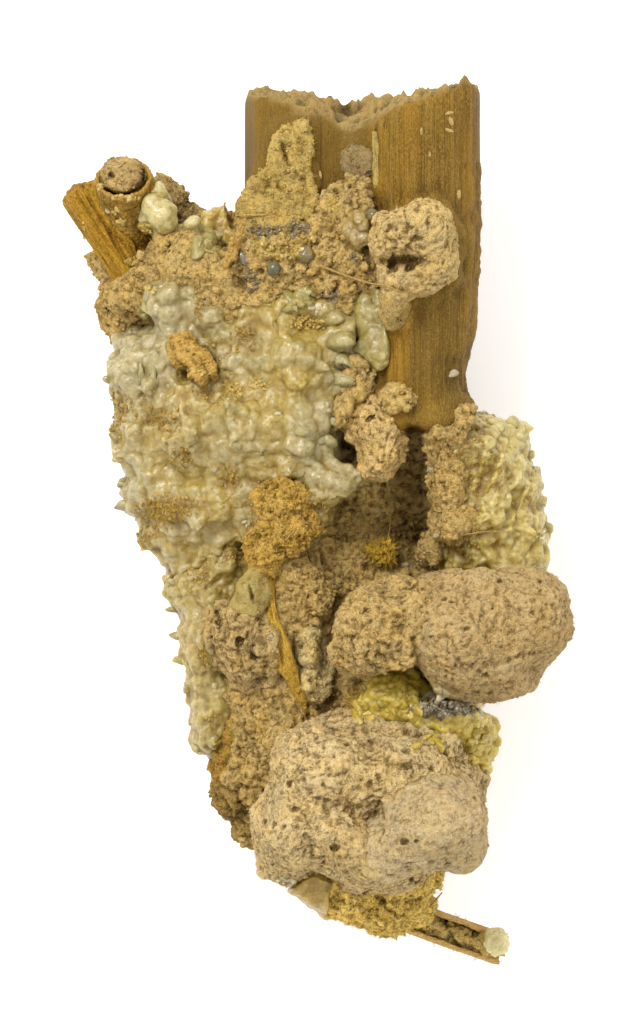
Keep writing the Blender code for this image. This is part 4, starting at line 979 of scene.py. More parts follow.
wood = worked_skin("wood_slab", WOOD_VOXEL, 1, 1)
ends = np.clip((wood.normals()[:, 1] - 0.4) / 0.3, 0, 1) * (wood.co[:, 1] > TORN_FROM)
ribbed = np.clip((wood.co[:, 0] - RIBS_FROM) / 1.5, 0, 1) * 0.75 + 0.25
fibrous(wood, 200, 90, 0.12, 1.3, ribbed)
fibrous(wood, 201, 90, 0.13, 0.5, ribbed * (1 - ends))
torn = clouds(wood.co, (0.55, 3.0, 0.8), 202, 2) * 0.9 + clouds(wood.co, (1.8, 3.0, 1.6), 203, 2) * 0.7
wood.co[:, 1] += ends * torn
wood.co[:, 2] += ends * 0.4 * clouds(wood.co, 0.7, 204, 2)
side = np.clip((wood.normals()[:, 0] - 0.3) / 0.4, 0, 1) * (wood.co[:, 1] < SIDE_TO)
wood.co[:, 0] += side * 0.45 * clouds(wood.co, (1.2, 1.6, 1.4), 205, 3)
pitted(wood, ((376, 155, 0.22, 2.6, 0, 0.6), (345, 110, 1.2, 0.8, 0, 0.6), (307, 150, 0.25, 1.6, 0, 0.5)))
hollows(wood, WOOD_VOXEL / 1.6)
wood.values["torn"] = averaged(ends, wood.edges(), 2)
wood.values["dull"] = np.clip(1 - ribbed, 0, 1)
wood.values["stain"] = np.clip(spotted(wood.co, (
    (432, 345, 1.6, 5.0, 0.7), (448, 390, 2.0, 4.0, 0.8), (416, 372, 1.2, 4.0, 0.4),
    (420, 320, 3.0, 1.6, 0.5), (370, 200, 0.8, 4.0, 0.5), (455, 320, 1.2, 8.0, 0.4),
    (462, 200, 1.4, 9.0, 0.35), (340, 150, 2.4, 3.0, 0.3), (258, 150, 1.2, 4.0, 0.5),
    (312, 210, 2.0, 3.0, 0.3),
)), 0, 1)
wood.values["warm"] = np.clip(spotted(wood.co, (
    (390, 370, 1.3, 7.0, 1.0), (372, 170, 1.2, 6.0, 0.8), (388, 310, 0.6, 4.0, 0.7),
    (415, 130, 1.0, 4.0, 0.4),
)), 0, 1)


def wood_tones():
    """Colour, roughness and fine height of old wood: ribs and beads of grain with painted light on them, and
    grooves darkened with painted shade.
    """
    w, given, out = group_of("wood_tones", (
        ("Light", COLOUR, (1, 1, 1, 1)), ("Mid", COLOUR, (1, 1, 1, 1)), ("Dark", COLOUR, (0, 0, 0, 1)),
        ("Orange", COLOUR, (1, 1, 1, 1)), ("Heading", FLOAT, 0.0),
    ), (("Colour", COLOUR), ("Roughness", FLOAT), ("Height", FLOAT)))
    rotate = w.node("VectorRotate", rotation_type="Z_AXIS")
    w.link(w.node("TexCoord").outputs["Object"], rotate.inputs["Vector"])
    w.link(given["Heading"], rotate.inputs["Angle"])
    place = rotate.outputs["Vector"]
    hollow = w.value("hollow")
    stained = w.value("stain")
    broad = w.noise(330.0, place, 3.0, 0.6, (1.0, 0.06, 1.0))
    patch = w.noise(200.0, place, 3.0, 0.6, (1.0, 0.4, 1.0))
    ribs = w.noise(3400.0, place, 2.0, 0.65, (1.0, 0.012, 1.0))
    lines = w.noise(7000.0, place, 2.0, 0.65, (1.0, 0.015, 1.0))
    beads = w.noise(8200.0, place, 2.0, 0.75, (1.0, 0.42, 1.0), bend=0.4)
    fine = w.noise(12000.0, place, 2.0, 0.6)
    warm = w.span(w.sum((broad, 1.0), (w.value("warm"), 0.3)), 0.45, 0.63)
    base = w.mix(warm, given["Mid"], given["Orange"])
    base = w.mix(w.math("MULTIPLY", stained, 0.4), base, given["Dark"])
    base = w.mix(w.span(patch, 0.5, 0.66, 0.0, 0.45), base, given["Dark"])
    # Painted light on the raised ribs, lines and beads of grain, less in hollows.
    rise = w.sum((ribs, 0.3), (lines, 0.35), (beads, 1.1), (hollow, -0.3), (stained, -0.12))
    lit = w.mix(w.span(rise, 0.74, 0.98), base, given["Light"])
    # Painted shade in the grooves between them and in hollows.
    sink = w.sum((hollow, 0.6), (ribs, -0.6), (lines, -0.8), (beads, -0.8))
    dark = w.mix(w.span(sink, -0.92, -0.44, 0.0, 0.85), lit, given["Dark"])
    smooth = w.span(w.sum((beads, 0.6), (broad, 0.6)), 0.5, 0.75)
    # The left half is worn dull: there the painted light and shade give way to plain dull tones.
    worn = w.mix(w.value("dull"), dark, w.mix(smooth, w.mix(0.4, given["Mid"], given["Dark"]), given["Mid"]))
    dusted_and_shaded = w.tinted(worn, w.mix(w.span(fine, 0.35, 0.65), (0.72, 0.7, 0.66, 1), (1.3, 1.28, 1.22, 1)))
    # Painted shade in the pits.
    w.link(w.mix(w.value("pit"), dusted_and_shaded, w.mix(0.6, given["Dark"], (0, 0, 0, 1))), out["Colour"])
    w.link(w.span(lines, 0.3, 0.7, 0.8, 0.55), out["Roughness"])
    w.link(w.sum((ribs, 1.4), (lines, 0.9), (beads, 0.7), (fine, 0.2)), out["Height"])
    return w.tree


WOOD_TONES = wood_tones()
WOOD_SHINE = 0.12


def wood_finish(name, mid, orange, light=1.5, heading=90, torn=None):
    """An old wood finish whose fibres run along the heading, with the colour of a torn end. light is the
    brightness share of the painted light on the ribs.
    """
    material, w, shader = finish_of(name)
    tones = w.placed(WOOD_TONES, Light=colour(mid[0], mid[1], mid[2] * 1.1, light), Mid=colour(*mid),
                     Dark=colour(mid[0] * 0.9, mid[1] * 0.82, mid[2] * 0.7, 0.28), Orange=colour(*orange),
                     Heading=math.radians(90 - heading))
    if torn:
        stain = colour(torn[0] * 0.85, torn[1] * 0.92, torn[2] * 0.9)
        rough = w.placed(EARTH_TONES, Light=colour(*torn, 1.4), Mid=colour(*torn), Dark=colour(*torn, 0.45),
                         Grain=1.8, Stain=stain)
        share = w.value("torn")
        w.link(w.mix(share, tones["Colour"], rough["Colour"]), shader["Base Color"])
        w.link(w.math("MAXIMUM", tones["Roughness"], share), shader["Roughness"])
    else:
        w.link(tones["Colour"], shader["Base Color"])
        w.link(tones["Roughness"], shader["Roughness"])
    w.link(w.raised(tones["Height"], 0.8, 0.3), shader["Normal"])
    shader["Specular IOR Level"].default_value = WOOD_SHINE
    return material


piece_of("old_wood", wood, wood_finish("old_wood", (125, 98, 39), (143, 106, 28), torn=(150, 126, 76)),
         ["wood_slab"], "wood_slab")


# The crust sheet on the left of the wood: a skin of yellow earth with a ragged edge, thin
# and cracked, that has dried onto the wood's face.

SHEET_VOXEL = 0.32
sheet = worked_skin("wood_crust", SHEET_VOXEL, 2, 1)
crumbled(sheet, 240, (0.26, 1.8), (0.14, 1.1), (0.3, 0.9), 0.08)
pitted(sheet, ((285, 158, 0.18, 1.0, 15, 0.6), (292, 190, 0.9, 0.9, 0, -0.4), (262, 185, 1.2, 1.6, 0, 0.25)))
hollows(sheet, SHEET_VOXEL / 1.6)
rng = np.random.default_rng(240)
piece_of("wood_crust_sheet", dusty(sheet, 420, 700, rng, (0.14, 0.5), SMALL_NEEDLES),
         earth_finish("yellow_crust", (190, 162, 92), (174, 149, 82), light=1.25, dark=0.45, pinholes=0.4),
         ["wood_crust"], "wood_crust")


# The plant stems, the splinters, the orange stem and the split reed: dry woody fibre,
# ribbed along its length. The stems stick in the earth, the splinters lie loose on it.

STEMS = (
    # node, voxel, rounds, colour, orange, light, heading, fibre depth, fibre size
    ("stem_stub", 0.26, 1, (149, 115, 35), (155, 113, 26), 1.5, -59.5, 0.3, 0.9),
    ("hollow_stem", 0.3, 1, (147, 116, 48), (149, 112, 40), 1.6, -75, 0.12, 0.6),
    ("straw_splinter", 0.2, 1, (179, 147, 78), (175, 132, 54), 1.3, -113, 0.06, 0.3),
    ("bark_splinter", 0.16, 1, (167, 147, 80), (162, 134, 63), 1.2, 90, 0.05, 0.3),
    ("orange_stem", 0.22, 1, (177, 143, 56), (175, 130, 39), 1.4, -75, 0.16, 0.45),
    ("reed", 0.28, 1, (190, 156, 86), (176, 136, 62), 1.5, -18.4, 0.1, 0.5),
)
for number, (node, voxel, rounds, tint, orange, light, heading, depth, size) in enumerate(STEMS):
    stalk = worked_skin(node, voxel, rounds, 1, reach=0.8, beside=("earth_plug", "reed_fill"))
    fibrous(stalk, 260 + 5 * number, heading, depth, size)
    fibrous(stalk, 262 + 5 * number, heading, depth * 0.6, size * 0.45)
    hollows(stalk, voxel / 1.6)
    stalk.values["pit"] = np.zeros(len(stalk.co))
    rng = np.random.default_rng(260 + number)
    hairs = needles(stalk, int(stalk.values["open"].sum() * 0.02), 0.3, 0.9, rng, thin=HAIR_THIN)
    finish = wood_finish(node + "_fibre", tint, orange, light, heading)
    piece_of(node + "_fibre", merged([stalk, hairs]), finish, [node], node)


# The crystal crusts: thousands of small blocky crystals of gibbsite, grown together into
# waxy lumps, with bigger pointed ones at the edges. They are clear enough to let light in.


def crystal_shape(rng, sides, taper, cuts, worn=2):
    """A blocky crystal about 1 wide, its top cut by a few tilted faces and its edges worn."""
    shape = bmesh.new()
    bmesh.ops.create_cone(shape, cap_ends=True, segments=sides, radius1=0.5, radius2=0.5 * taper, depth=1.5)
    for vert in shape.verts:
        vert.co.z += 0.25
        vert.co.x *= rng.uniform(0.88, 1.12)
        vert.co.y *= rng.uniform(0.8, 1.05)
    for _ in range(cuts):
        tilt = math.radians(rng.uniform(24, 62))
        turn = rng.uniform(0, math.tau)
        slope = Vector((math.sin(tilt) * math.cos(turn), math.sin(tilt) * math.sin(turn), math.cos(tilt)))
        whole = list(shape.verts) + list(shape.edges) + list(shape.faces)
        level = (0, 0, rng.uniform(0.42, 0.72))
        bmesh.ops.bisect_plane(shape, geom=whole, plane_co=level, plane_no=slope, clear_outer=True)
        bmesh.ops.holes_fill(shape, edges=[edge for edge in shape.edges if edge.is_boundary])
    bmesh.ops.bevel(shape, geom=list(shape.edges), offset=0.07, segments=worn, affect="EDGES",
                    clamp_overlap=True)
    return shape_arrays(shape)


CRYSTAL_SIDES = 5
FLAT_SHARE = 0.4
LEAN = 0.35


def blocks(points, facing, size, seed):
    """Heights of blunt, flat-faced crystals grown into each other, one to a cell, and each one's number."""
    best = np.full(len(points), -0.55)
    own = np.zeros(len(points))
    scaled = points / size
    low = np.floor(scaled).astype(np.int64)
    for step in np.ndindex(3, 3, 3):
        cell = low + np.array(step) - 1
        chance = [hashed(cell, seed + 13 * number) for number in range(9)]
        away = scaled - cell - 0.5 - 0.7 * (np.stack(chance[:3], axis=1) - 0.5)
        axis = facing + LEAN * 2 * (np.stack(chance[3:6], axis=1) - 0.5)
        axis /= np.linalg.norm(axis, axis=1, keepdims=True)
        side = np.cross(axis, (0.31, 0.72, 0.62))
        side /= np.linalg.norm(side, axis=1, keepdims=True)
        other = np.cross(axis, side)
        deep = (away * facing).sum(axis=1)
        away = away - facing * deep[:, None]
        rise = 0.4 + 0.3 * chance[8] - (away * axis).sum(axis=1)
        rise = rise / np.maximum((facing * axis).sum(axis=1), 0.3)
        for number in range(CRYSTAL_SIDES):
            turn = chance[6] * math.tau + number * math.tau / CRYSTAL_SIDES * (0.8 + 0.4 * chance[7])
            steep = 0.75 + 0.5 * ((chance[7] * (number + 2)) % 1)
            plane = (axis * (0.62 * steep)[:, None] + side * np.cos(turn)[:, None] * 0.78
                     + other * np.sin(turn)[:, None] * 0.78)
            slope = np.maximum((facing * plane).sum(axis=1), 0.22)
            rise = np.minimum(rise, (0.44 - (away * plane).sum(axis=1)) / slope)
        dome = 0.5 - 1.1 * (away ** 2).sum(axis=1)
        rise = FLAT_SHARE * rise + (1 - FLAT_SHARE) * dome - 2.5 * np.clip(np.abs(deep) - 0.4, 0, 1)
        higher = rise > best
        best = np.where(higher, rise, best)
        own = np.where(higher, hashed(cell, seed + 97), own)
    return best - 0.35, own


def crystal_tones():
    """Colour, roughness and fine height of a waxy crystal crust, with a painted glow on raised crystals and
    painted shade in its hollows.
    """
    w, given, out = group_of("crystal_tones", (
        ("Pale", COLOUR, (1, 1, 1, 1)), ("Yellow", COLOUR, (1, 1, 0.5, 1)),
        ("Brown", COLOUR, (0.3, 0.2, 0.1, 1)), ("Brown Share", FLOAT, 0.5),
    ), (("Colour", COLOUR), ("Roughness", FLOAT), ("Height", FLOAT)))
    place = w.node("TexCoord").outputs["Object"]
    hollow = w.value("hollow")
    tone = w.value("tone")
    stained = w.value("stain")
    patch = w.noise(300.0, place, 3.0, 0.6)
    spot = w.noise(900.0, place, 3.0, 0.65, bend=0.5)
    grain = w.noise(3600.0, place, 3.0, 0.7, bend=0.6)
    fine = w.noise(8000.0, place, 2.0, 0.6)
    broad_facet, own = w.facets(850.0, place)
    small_facet, small_own = w.facets(2000.0, place)
    # Pale places, random tones and grain, with painted shade: yellower in the hollows.
    pale = w.sum((patch, 0.9), (w.value("pale"), 0.8), (tone, 0.25), (grain, 0.4), (small_own, 0.16),
                 (hollow, -0.7))
    base = w.mix(w.span(pale, 0.35, 1.0), given["Yellow"], given["Pale"])
    clear = w.span(w.sum((w.noise(620.0, place, 3.0, 0.65), 1.0), (own, 0.14)), 0.5, 0.7, 0.0, 0.6)
    base = w.mix(clear, base, w.tinted(base, (0.8, 0.83, 0.72, 1)))
    # Painted glow: random crystals and spots lit brighter, less so in the hollows.
    glow = w.span(w.sum((tone, 0.8), (spot, 0.7), (hollow, -0.5)), 0.6, 1.2, 0.0, 0.5)
    bright = w.mix(glow, base, w.tinted(base, (1.16, 1.17, 1.18, 1)))
    # Brown for the stains, and as painted shade in the hollows, over a base share.
    deep = w.sum((hollow, 0.8), (spot, 0.5), (stained, 0.9), (grain, 0.3), (given["Brown Share"], 1.0))
    browned = w.mix(w.span(deep, 1.3, 2.0), bright, given["Brown"])
    coarse = w.mix(w.span(grain, 0.35, 0.65), (0.84, 0.82, 0.77, 1), (1.12, 1.12, 1.12, 1))
    dust = w.sum((w.span(fine, 0.35, 0.65), 0.5), (small_own, 0.5))
    dust = w.mix(dust, (0.88, 0.87, 0.82, 1), (1.12, 1.12, 1.12, 1))
    w.link(w.tinted(w.tinted(browned, coarse), dust), out["Colour"])
    w.link(w.sum((spot, 0.2), (own, 0.18), (small_own, 0.14), (stained, 0.35), (hollow, 0.12)),
           out["Roughness"])
    w.link(w.sum((w.span(grain, 0.3, 0.7), 0.9), (spot, 0.6), (fine, 0.3), (broad_facet, 8.0),
                 (small_facet, 4.5)), out["Height"])
    return w.tree


CRYSTAL_TONES = crystal_tones()
LIGHT_REACH = 1.4 * MM
GIBBSITE_IOR = 1.57
FROM_ABOVE = 60
HALF_WAY_UP = 16
NAMED_SHAPES = ((5, 0.7, 2), (6, 0.8, 3), (5, 0.5, 2), (6, 0.6, 2))
NAMED_SUNK = 0.25


def crystal_finish(name, pale, yellow, brown, brown_share=0.4, soft=0.8):
    """A waxy crystal finish. soft is how much of the light goes in and comes out again."""
    material, w, shader = finish_of(name)
    tones = w.placed(CRYSTAL_TONES, Pale=colour(*pale, 0.95), Yellow=colour(*yellow, 0.95),
                     Brown=colour(*brown), Brown_Share=brown_share)
    w.link(tones["Colour"], shader["Base Color"])
    w.link(tones["Roughness"], shader["Roughness"])
    w.link(w.raised(tones["Height"], 0.6, 0.05), shader["Normal"])
    shader["Subsurface Weight"].default_value = soft
    shader["Subsurface Radius"].default_value = (1.0, 0.95, 0.8)
    shader["Subsurface Scale"].default_value = LIGHT_REACH
    shader["IOR"].default_value = GIBBSITE_IOR
    return material


def top_of(skin):
    """A way to find where a line from above meets the skin, or else the skin's nearest place."""
    tree = BVHTree.FromPolygons(skin.co.tolist(), np.concatenate(skin.faces).tolist())

    def found(px, py):
        x, y = place_of(px, py)
        spot = tree.ray_cast(Vector((x, y, FROM_ABOVE)), Vector((0, 0, -1)))[0]
        if spot is None:
            spot = tree.find_nearest(Vector((x, y, HALF_WAY_UP)))[0]
        return np.array(spot)
    return found


def stand_points(node, skin, named, pale, finish, rng):
    """The crystals of a crust that are seen one by one, as a piece of their own."""
    top = top_of(skin)
    shapes = [crystal_shape(rng, *kind) for kind in NAMED_SHAPES]
    rows = np.array([row[2:] for row in named], dtype=float)
    feet = np.array([top(px, py) for px, py, *_ in named])
    axes = np.stack([rows[:, 2], rows[:, 3], np.full(len(rows), 1.0)], axis=1)
    sunk = axes / np.linalg.norm(axes, axis=1, keepdims=True) * rows[:, :1] * NAMED_SUNK
    made = planted(shapes, feet - sunk, axes, rows[:, 1], rows[:, 0], rng, soft=True)
    made.values["tone"] = rows[:, 4][made.owner]
    made.values["hollow"] = np.full(len(made.co), 0.3)
    made.values["pale"] = np.clip(spotted(made.co, pale), -1, 1)
    piece_of(node + "_points", made, finish, [], node)


def grown_crust(node, seed, lumps, sizes, finish, pale=(), stain=(), named=(), slabs=(), grooves=(),
                mounds=(), dust=0, big=None, voxel=0.66, cuts=2):
    """One crust: a lumpy skin whose whole face is small crystals, grown into each other.

    lumps and sizes are (size, height) in mm. pale, stain and slabs are spots as in spotted(): pale
    places, stained ones and those of big smooth crystals. named are crystals seen one by one, each
    its place in the picture, width and length in mm, lean to the right and up it, and paleness.
    """
    rng = np.random.default_rng(seed)
    skin = worked_skin(node, voxel, 2, cuts, mounds)
    height = 0.25 * clouds(skin.co, 3.2, seed) - 0.1
    for size, depth in lumps:
        height += depth * (0.4 - cells(skin.co, size, seed + int(size * 10)) ** 2)
    skin.co = skin.co + skin.normals() * height[:, None]
    pitted(skin, grooves)
    facing = averaged(skin.normals(), skin.edges(), 8)
    facing /= np.linalg.norm(facing, axis=1, keepdims=True)
    stained = np.clip(spotted(skin.co, stain), 0, 1)
    smooth = np.clip(spotted(skin.co, slabs), 0, 1)
    push = np.zeros(len(skin.co))
    tone = np.zeros(len(skin.co))
    for number, (size, depth) in enumerate(sizes):
        rise, own = blocks(skin.co, facing, size, seed + 7 * number)
        share = (1 - 0.6 * stained) * ((1 - 0.75 * smooth) if number else (1 + 0.3 * smooth))
        push += depth * rise * share
        tone = tone + (0.65 if number == 0 else 0.35 / (len(sizes) - 1)) * own
    skin.co = averaged(skin.co + facing * push[:, None], skin.edges(), 1)
    if stain:
        skin.co = skin.co + facing * (stained * 0.2 * creases(skin.co, 0.9, seed + 40))[:, None]
    skin.values["tone"] = tone
    hollows(skin, voxel / 3)
    if named:
        stand_points(node, skin, named, pale, big, rng)
    if dust:
        def on_stains(first):
            return stained[first] ** 2
        fallen = merged([
            grains(skin, dust, 0.14, 0.5, rng, keep=on_stains),
            needles(skin, int(dust * 1.6), *SMALL_NEEDLES, rng, keep=on_stains),
        ])
        piece_of(node + "_dust", fallen, stain_dust, [], node)
    skin.values["pale"] = np.clip(spotted(skin.co, pale), -1, 1)
    skin.values["stain"] = np.clip(spotted(skin.co, stain), 0, 1.2)
    piece_of(node + "_crystals", skin, finish, [node], node)


def big_crystal_finish(name, pale, yellow, brown):
    """The finish of the bigger crystals: less browned, and letting less light in."""
    return crystal_finish(name, pale, yellow, brown, 0.2, 0.15)


stain_dust = earth_finish("stain_dust", (196, 163, 84), (184, 144, 56))
grown_crust(
    "crust_main", 301, ((3.4, 0.6),), ((2.2, 0.95), (1.15, 0.45), (0.6, 0.14)),
    crystal_finish("main_crystal", (168, 153, 108), (172, 147, 70), (146, 114, 48)),
    pale=(
        (115, 350, 5.0, 4.5, 1.0), (175, 315, 3.5, 3.0, 0.6), (150, 375, 2.5, 2.0, 0.9),
        (125, 490, 2.0, 3.0, 0.8), (240, 365, 2.5, 2.0, 0.5), (335, 480, 2.5, 2.2, 0.6),
        (312, 435, 3.0, 3.0, 0.5), (215, 315, 1.5, 1.5, 0.6), (335, 400, 2.0, 4.0, 0.4),
        (225, 445, 3.0, 2.5, 0.3), (300, 320, 3.0, 3.0, -0.4), (270, 400, 3.0, 3.0, -0.4),
        (190, 395, 3.0, 2.0, -0.2), (345, 510, 2.5, 1.5, -0.6), (250, 300, 2.5, 1.5, -0.5),
    ),
    stain=(
        (160, 418, 2.2, 1.4, 0.7), (183, 458, 1.8, 1.2, 0.6), (163, 512, 2.6, 1.4, 1.0),
        (245, 337, 1.3, 1.1, 1.0), (285, 515, 3.2, 3.4, 1.1), (120, 400, 2.0, 1.6, 0.45),
        (234, 477, 1.1, 1.3, 0.8), (310, 326, 1.8, 0.8, 0.6), (195, 360, 2.4, 1.6, 0.8),
        (205, 395, 1.4, 1.0, 0.5), (130, 320, 0.9, 0.7, 0.9), (110, 425, 1.4, 1.4, 0.5),
        (180, 505, 2.6, 1.0, 0.6), (232, 395, 1.0, 2.0, 0.4), (140, 540, 2.0, 1.2, 0.6),
        (200, 310, 0.5, 1.4, 0.9),
    ),
    named=(
        (143, 376, 0.9, 2.4, 0.1, 2.6, 1.0), (156, 377, 0.8, 2.2, -0.1, 2.6, 1.0),
        (302, 432, 2.0, 1.6, 0.0, -0.2, 0.9), (320, 440, 2.3, 1.8, 0.2, -0.2, 1.0),
        (308, 450, 1.8, 1.5, 0.0, -0.4, 0.8), (344, 343, 2.6, 3.4, 1.4, 0.2, 0.6),
        (342, 362, 2.2, 3.0, 1.3, -0.1, 0.6), (344, 381, 2.6, 3.4, 1.5, -0.1, 0.6),
        (332, 420, 2.2, 2.6, 1.1, -0.3, 0.7), (328, 442, 1.8, 2.2, 1.0, -0.6, 0.7),
        (336, 320, 2.0, 2.4, 1.1, 0.5, 0.5), (110, 437, 1.4, 1.8, -1.2, 0.1, 0.4),
        (122, 483, 1.7, 2.2, -1.2, 0.2, 0.7), (124, 505, 1.7, 2.2, -1.1, -0.2, 0.7),
        (112, 352, 1.8, 1.6, -0.6, 0.1, 0.8), (108, 380, 1.4, 1.6, -1.0, 0.1, 0.6),
    ),
    slabs=(
        (325, 370, 3.0, 5.5, 1.0), (320, 440, 3.0, 3.0, 1.0), (273, 325, 2.4, 2.4, 1.0),
        (174, 312, 2.4, 2.0, 0.6), (334, 484, 2.6, 2.4, 1.0),
    ),
    mounds=(
        (172, 305, 19.8, 2.6, 2.4, 2.2), (215, 315, 20.6, 1.3, 1.3, 1.8), (178, 325, 18.8, 1.8, 1.8, 2.2),
        (207, 345, 18.4, 1.8, 1.6, 2.2), (334, 484, 22.8, 2.6, 2.4, 2.3), (272, 321, 22.1, 1.5, 1.9, 1.8),
        (238, 364, 20.4, 1.9, 1.7, 2.5), (232, 334, 19.4, 1.7, 1.4, 2.2), (222, 310, 20.0, 1.2, 1.2, 2.0),
        (258, 322, 20.6, 2.2, 2.4, 2.4), (276, 324, 21.4, 2.4, 2.2, 2.2), (341, 334, 22.0, 1.8, 1.6, 1.8),
        (300, 306, 21.2, 2.6, 1.5, 2.2), (250, 345, 20.8, 2.2, 1.6, 2.2), (200, 312, 19.0, 1.4, 1.4, 2.0),
        (330, 316, 21.6, 1.6, 1.6, 1.8),
    ),
    dust=1100, big=big_crystal_finish("main_point", (164, 152, 104), (160, 140, 76), (140, 110, 50)),
)
grown_crust(
    "crust_lower_left", 302, ((2.8, 0.5),), ((1.9, 0.85), (1.0, 0.4), (0.55, 0.14)),
    crystal_finish("lower_left_crystal", (171, 151, 86), (163, 138, 62), (142, 110, 46)),
    pale=(
        (215, 683, 1.6, 1.2, 1.0), (200, 704, 0.8, 1.2, 0.9), (203, 729, 0.8, 1.0, 0.9),
        (197, 750, 1.0, 1.0, 0.7), (175, 600, 1.5, 3.0, 0.3), (235, 560, 3.0, 2.0, 0.2),
    ),
    stain=(
        (205, 654, 0.7, 0.9, 0.9), (215, 720, 1.2, 1.0, 0.4), (235, 545, 2.5, 1.5, 0.6),
        (200, 575, 1.4, 2.0, 0.3),
    ),
    named=(
        (172, 608, 1.2, 1.8, -1.3, 0.1, 0.7), (176, 636, 1.2, 1.8, -1.3, -0.1, 0.6),
        (173, 583, 1.1, 1.7, -1.2, 0.6, 0.6), (178, 592, 1.1, 1.5, -1.0, 0.4, 0.6),
        (180, 660, 1.4, 1.7, -1.0, 0.0, 0.7), (196, 748, 1.7, 1.5, -0.4, -0.3, 0.9),
        (186, 690, 1.4, 1.6, -1.0, -0.1, 0.7), (190, 722, 1.5, 1.5, -0.9, -0.2, 0.9),
        (215, 683, 1.7, 1.0, 0, 0, 1.0),
    ),
    dust=260, big=big_crystal_finish("lower_left_point", (176, 162, 108), (164, 144, 76), (142, 110, 46)),
)
grown_crust(
    "crust_right", 303, ((2.4, 0.5),), ((1.8, 0.85), (0.95, 0.4), (0.5, 0.14)),
    crystal_finish("right_crystal", (190, 172, 108), (178, 153, 66), (146, 114, 44), 0.42),
    pale=(
        (505, 430, 3.5, 2.5, 0.8), (437, 452, 1.0, 0.9, 0.9), (549, 518, 1.0, 1.6, 0.9),
        (520, 480, 2.0, 2.0, 0.2),
    ),
    stain=(
        (455, 470, 3.0, 5.0, 0.75), (450, 535, 3.5, 2.0, 0.7), (500, 480, 0.8, 2.6, 0.5),
        (528, 500, 0.7, 2.4, 0.4), (470, 430, 2.0, 1.5, 0.4),
    ),
    named=(
        (512, 424, 2.0, 1.8, 0.2, 0.8, 0.9), (522, 436, 1.8, 1.6, 0.8, 0.4, 0.8),
        (496, 428, 1.8, 1.6, -0.1, 0.6, 0.9), (540, 470, 1.6, 1.6, 1.1, 0.1, 0.6),
        (546, 500, 1.6, 1.6, 1.1, 0.0, 0.8), (549, 528, 1.7, 1.7, 1.1, -0.2, 0.9),
        (437, 452, 1.6, 1.2, 0, 0.1, 1.0), (530, 455, 1.6, 1.6, 1.0, 0.3, 0.7),
    ),
    grooves=((488, 470, 0.5, 3.6, -25, 0.9), (515, 500, 0.45, 3.0, -25, 0.8), (470, 520, 0.5, 2.4, -25, 0.7)),
    dust=600, big=big_crystal_finish("right_point", (190, 174, 114), (172, 148, 70), (142, 110, 46)),
)
grown_crust(
    "crust_green", 304, ((2.2, 0.4),), ((1.5, 0.7), (0.8, 0.3)),
    crystal_finish("green_crystal", (206, 182, 78), (190, 162, 52), (136, 106, 34), 0.38),
    pale=((403, 713, 1.2, 1.0, 1.0), (480, 735, 1.6, 1.2, 0.4), (375, 700, 1.2, 1.0, 0.4)),
    stain=((440, 750, 3.5, 1.5, 0.6), (350, 690, 1.0, 2.0, 0.6), (420, 740, 1.5, 1.2, 0.6)),
    named=(
        (403, 713, 1.7, 1.2, 0, 0.1, 0.9), (380, 700, 1.3, 1.0, 0, 0.2, 0.7),
        (370, 716, 1.2, 1.0, 0, 0, 0.6),
    ),
    dust=360, big=big_crystal_finish("green_point", (176, 156, 72), (164, 138, 48), (122, 94, 28)),
)


# The small crystal groups: the pale cluster and the standing fragment at the upper left, the
# green lumps by the wood, the knob at the foot and the cream cap on the reed's end.

SMALL_GROUPS = (
    # node, pale, yellow, brown share, block sizes, pale places, stain places, mounds
    ("pale_cluster", (186, 172, 118), (178, 158, 86), 0.2, ((2.4, 0.4), (1.1, 0.12)),
     ((193, 226, 1.0, 1.0, 1.0),), ((165, 203, 1.6, 0.9, 0.5),),
     ((163, 220, 20.4, 1.7, 2.0, 1.6), (193, 225, 19.6, 1.0, 0.9, 1.0))),
    ("spiky_fragment", (190, 168, 92), (180, 150, 62), 0.36, ((0.9, 0.35), (0.45, 0.14)),
     ((215, 222, 1.0, 1.2, 0.2),), ((212, 235, 1.0, 1.0, 0.7),), ()),
    ("green_lump", (159, 137, 81), (146, 120, 59), 0.46, ((1.1, 0.4), (0.5, 0.14)),
     ((370, 220, 0.8, 0.9, 0.8),), ((352, 250, 1.0, 1.2, 0.6),), ()),
    ("green_crystals", (162, 147, 88), (144, 126, 64), 0.3, ((1.7, 0.4), (0.8, 0.1)), (), (),
     ((368, 318, 22.4, 1.5, 2.4, 1.3), (374, 346, 22.8, 1.5, 2.2, 1.3))),
    ("knob_crystal", (182, 152, 68), (168, 136, 44), 0.3, ((2.2, 0.35), (1.0, 0.1)), (), (),
     ((314, 889, 15.0, 2.1, 2.3, 2.0), (307, 879, 14.8, 1.6, 1.4, 1.6))),
    ("reed_cap", (221, 207, 153), (212, 192, 125), 0.1, ((0.8, 0.3), (0.4, 0.1)),
     ((499, 943, 1.2, 1.4, 0.8),), (), ()),
)
SMALL_BROWN = (148, 114, 50)
for number, (node, pale, yellow, brown_share, sizes, pale_at, stain_at, grown_on) in enumerate(SMALL_GROUPS):
    finish = crystal_finish(node + "_crystal", pale, yellow, SMALL_BROWN, brown_share, 0.35)
    grown_crust(node, 320 + number, ((1.6, 0.2),), sizes, finish, pale_at, stain_at, mounds=grown_on,
                voxel=0.26, cuts=1)


# The glassy beads: small rounded drops of clear, silvery and grey-green crystal, each set
# in the earth or the crust up to its middle.

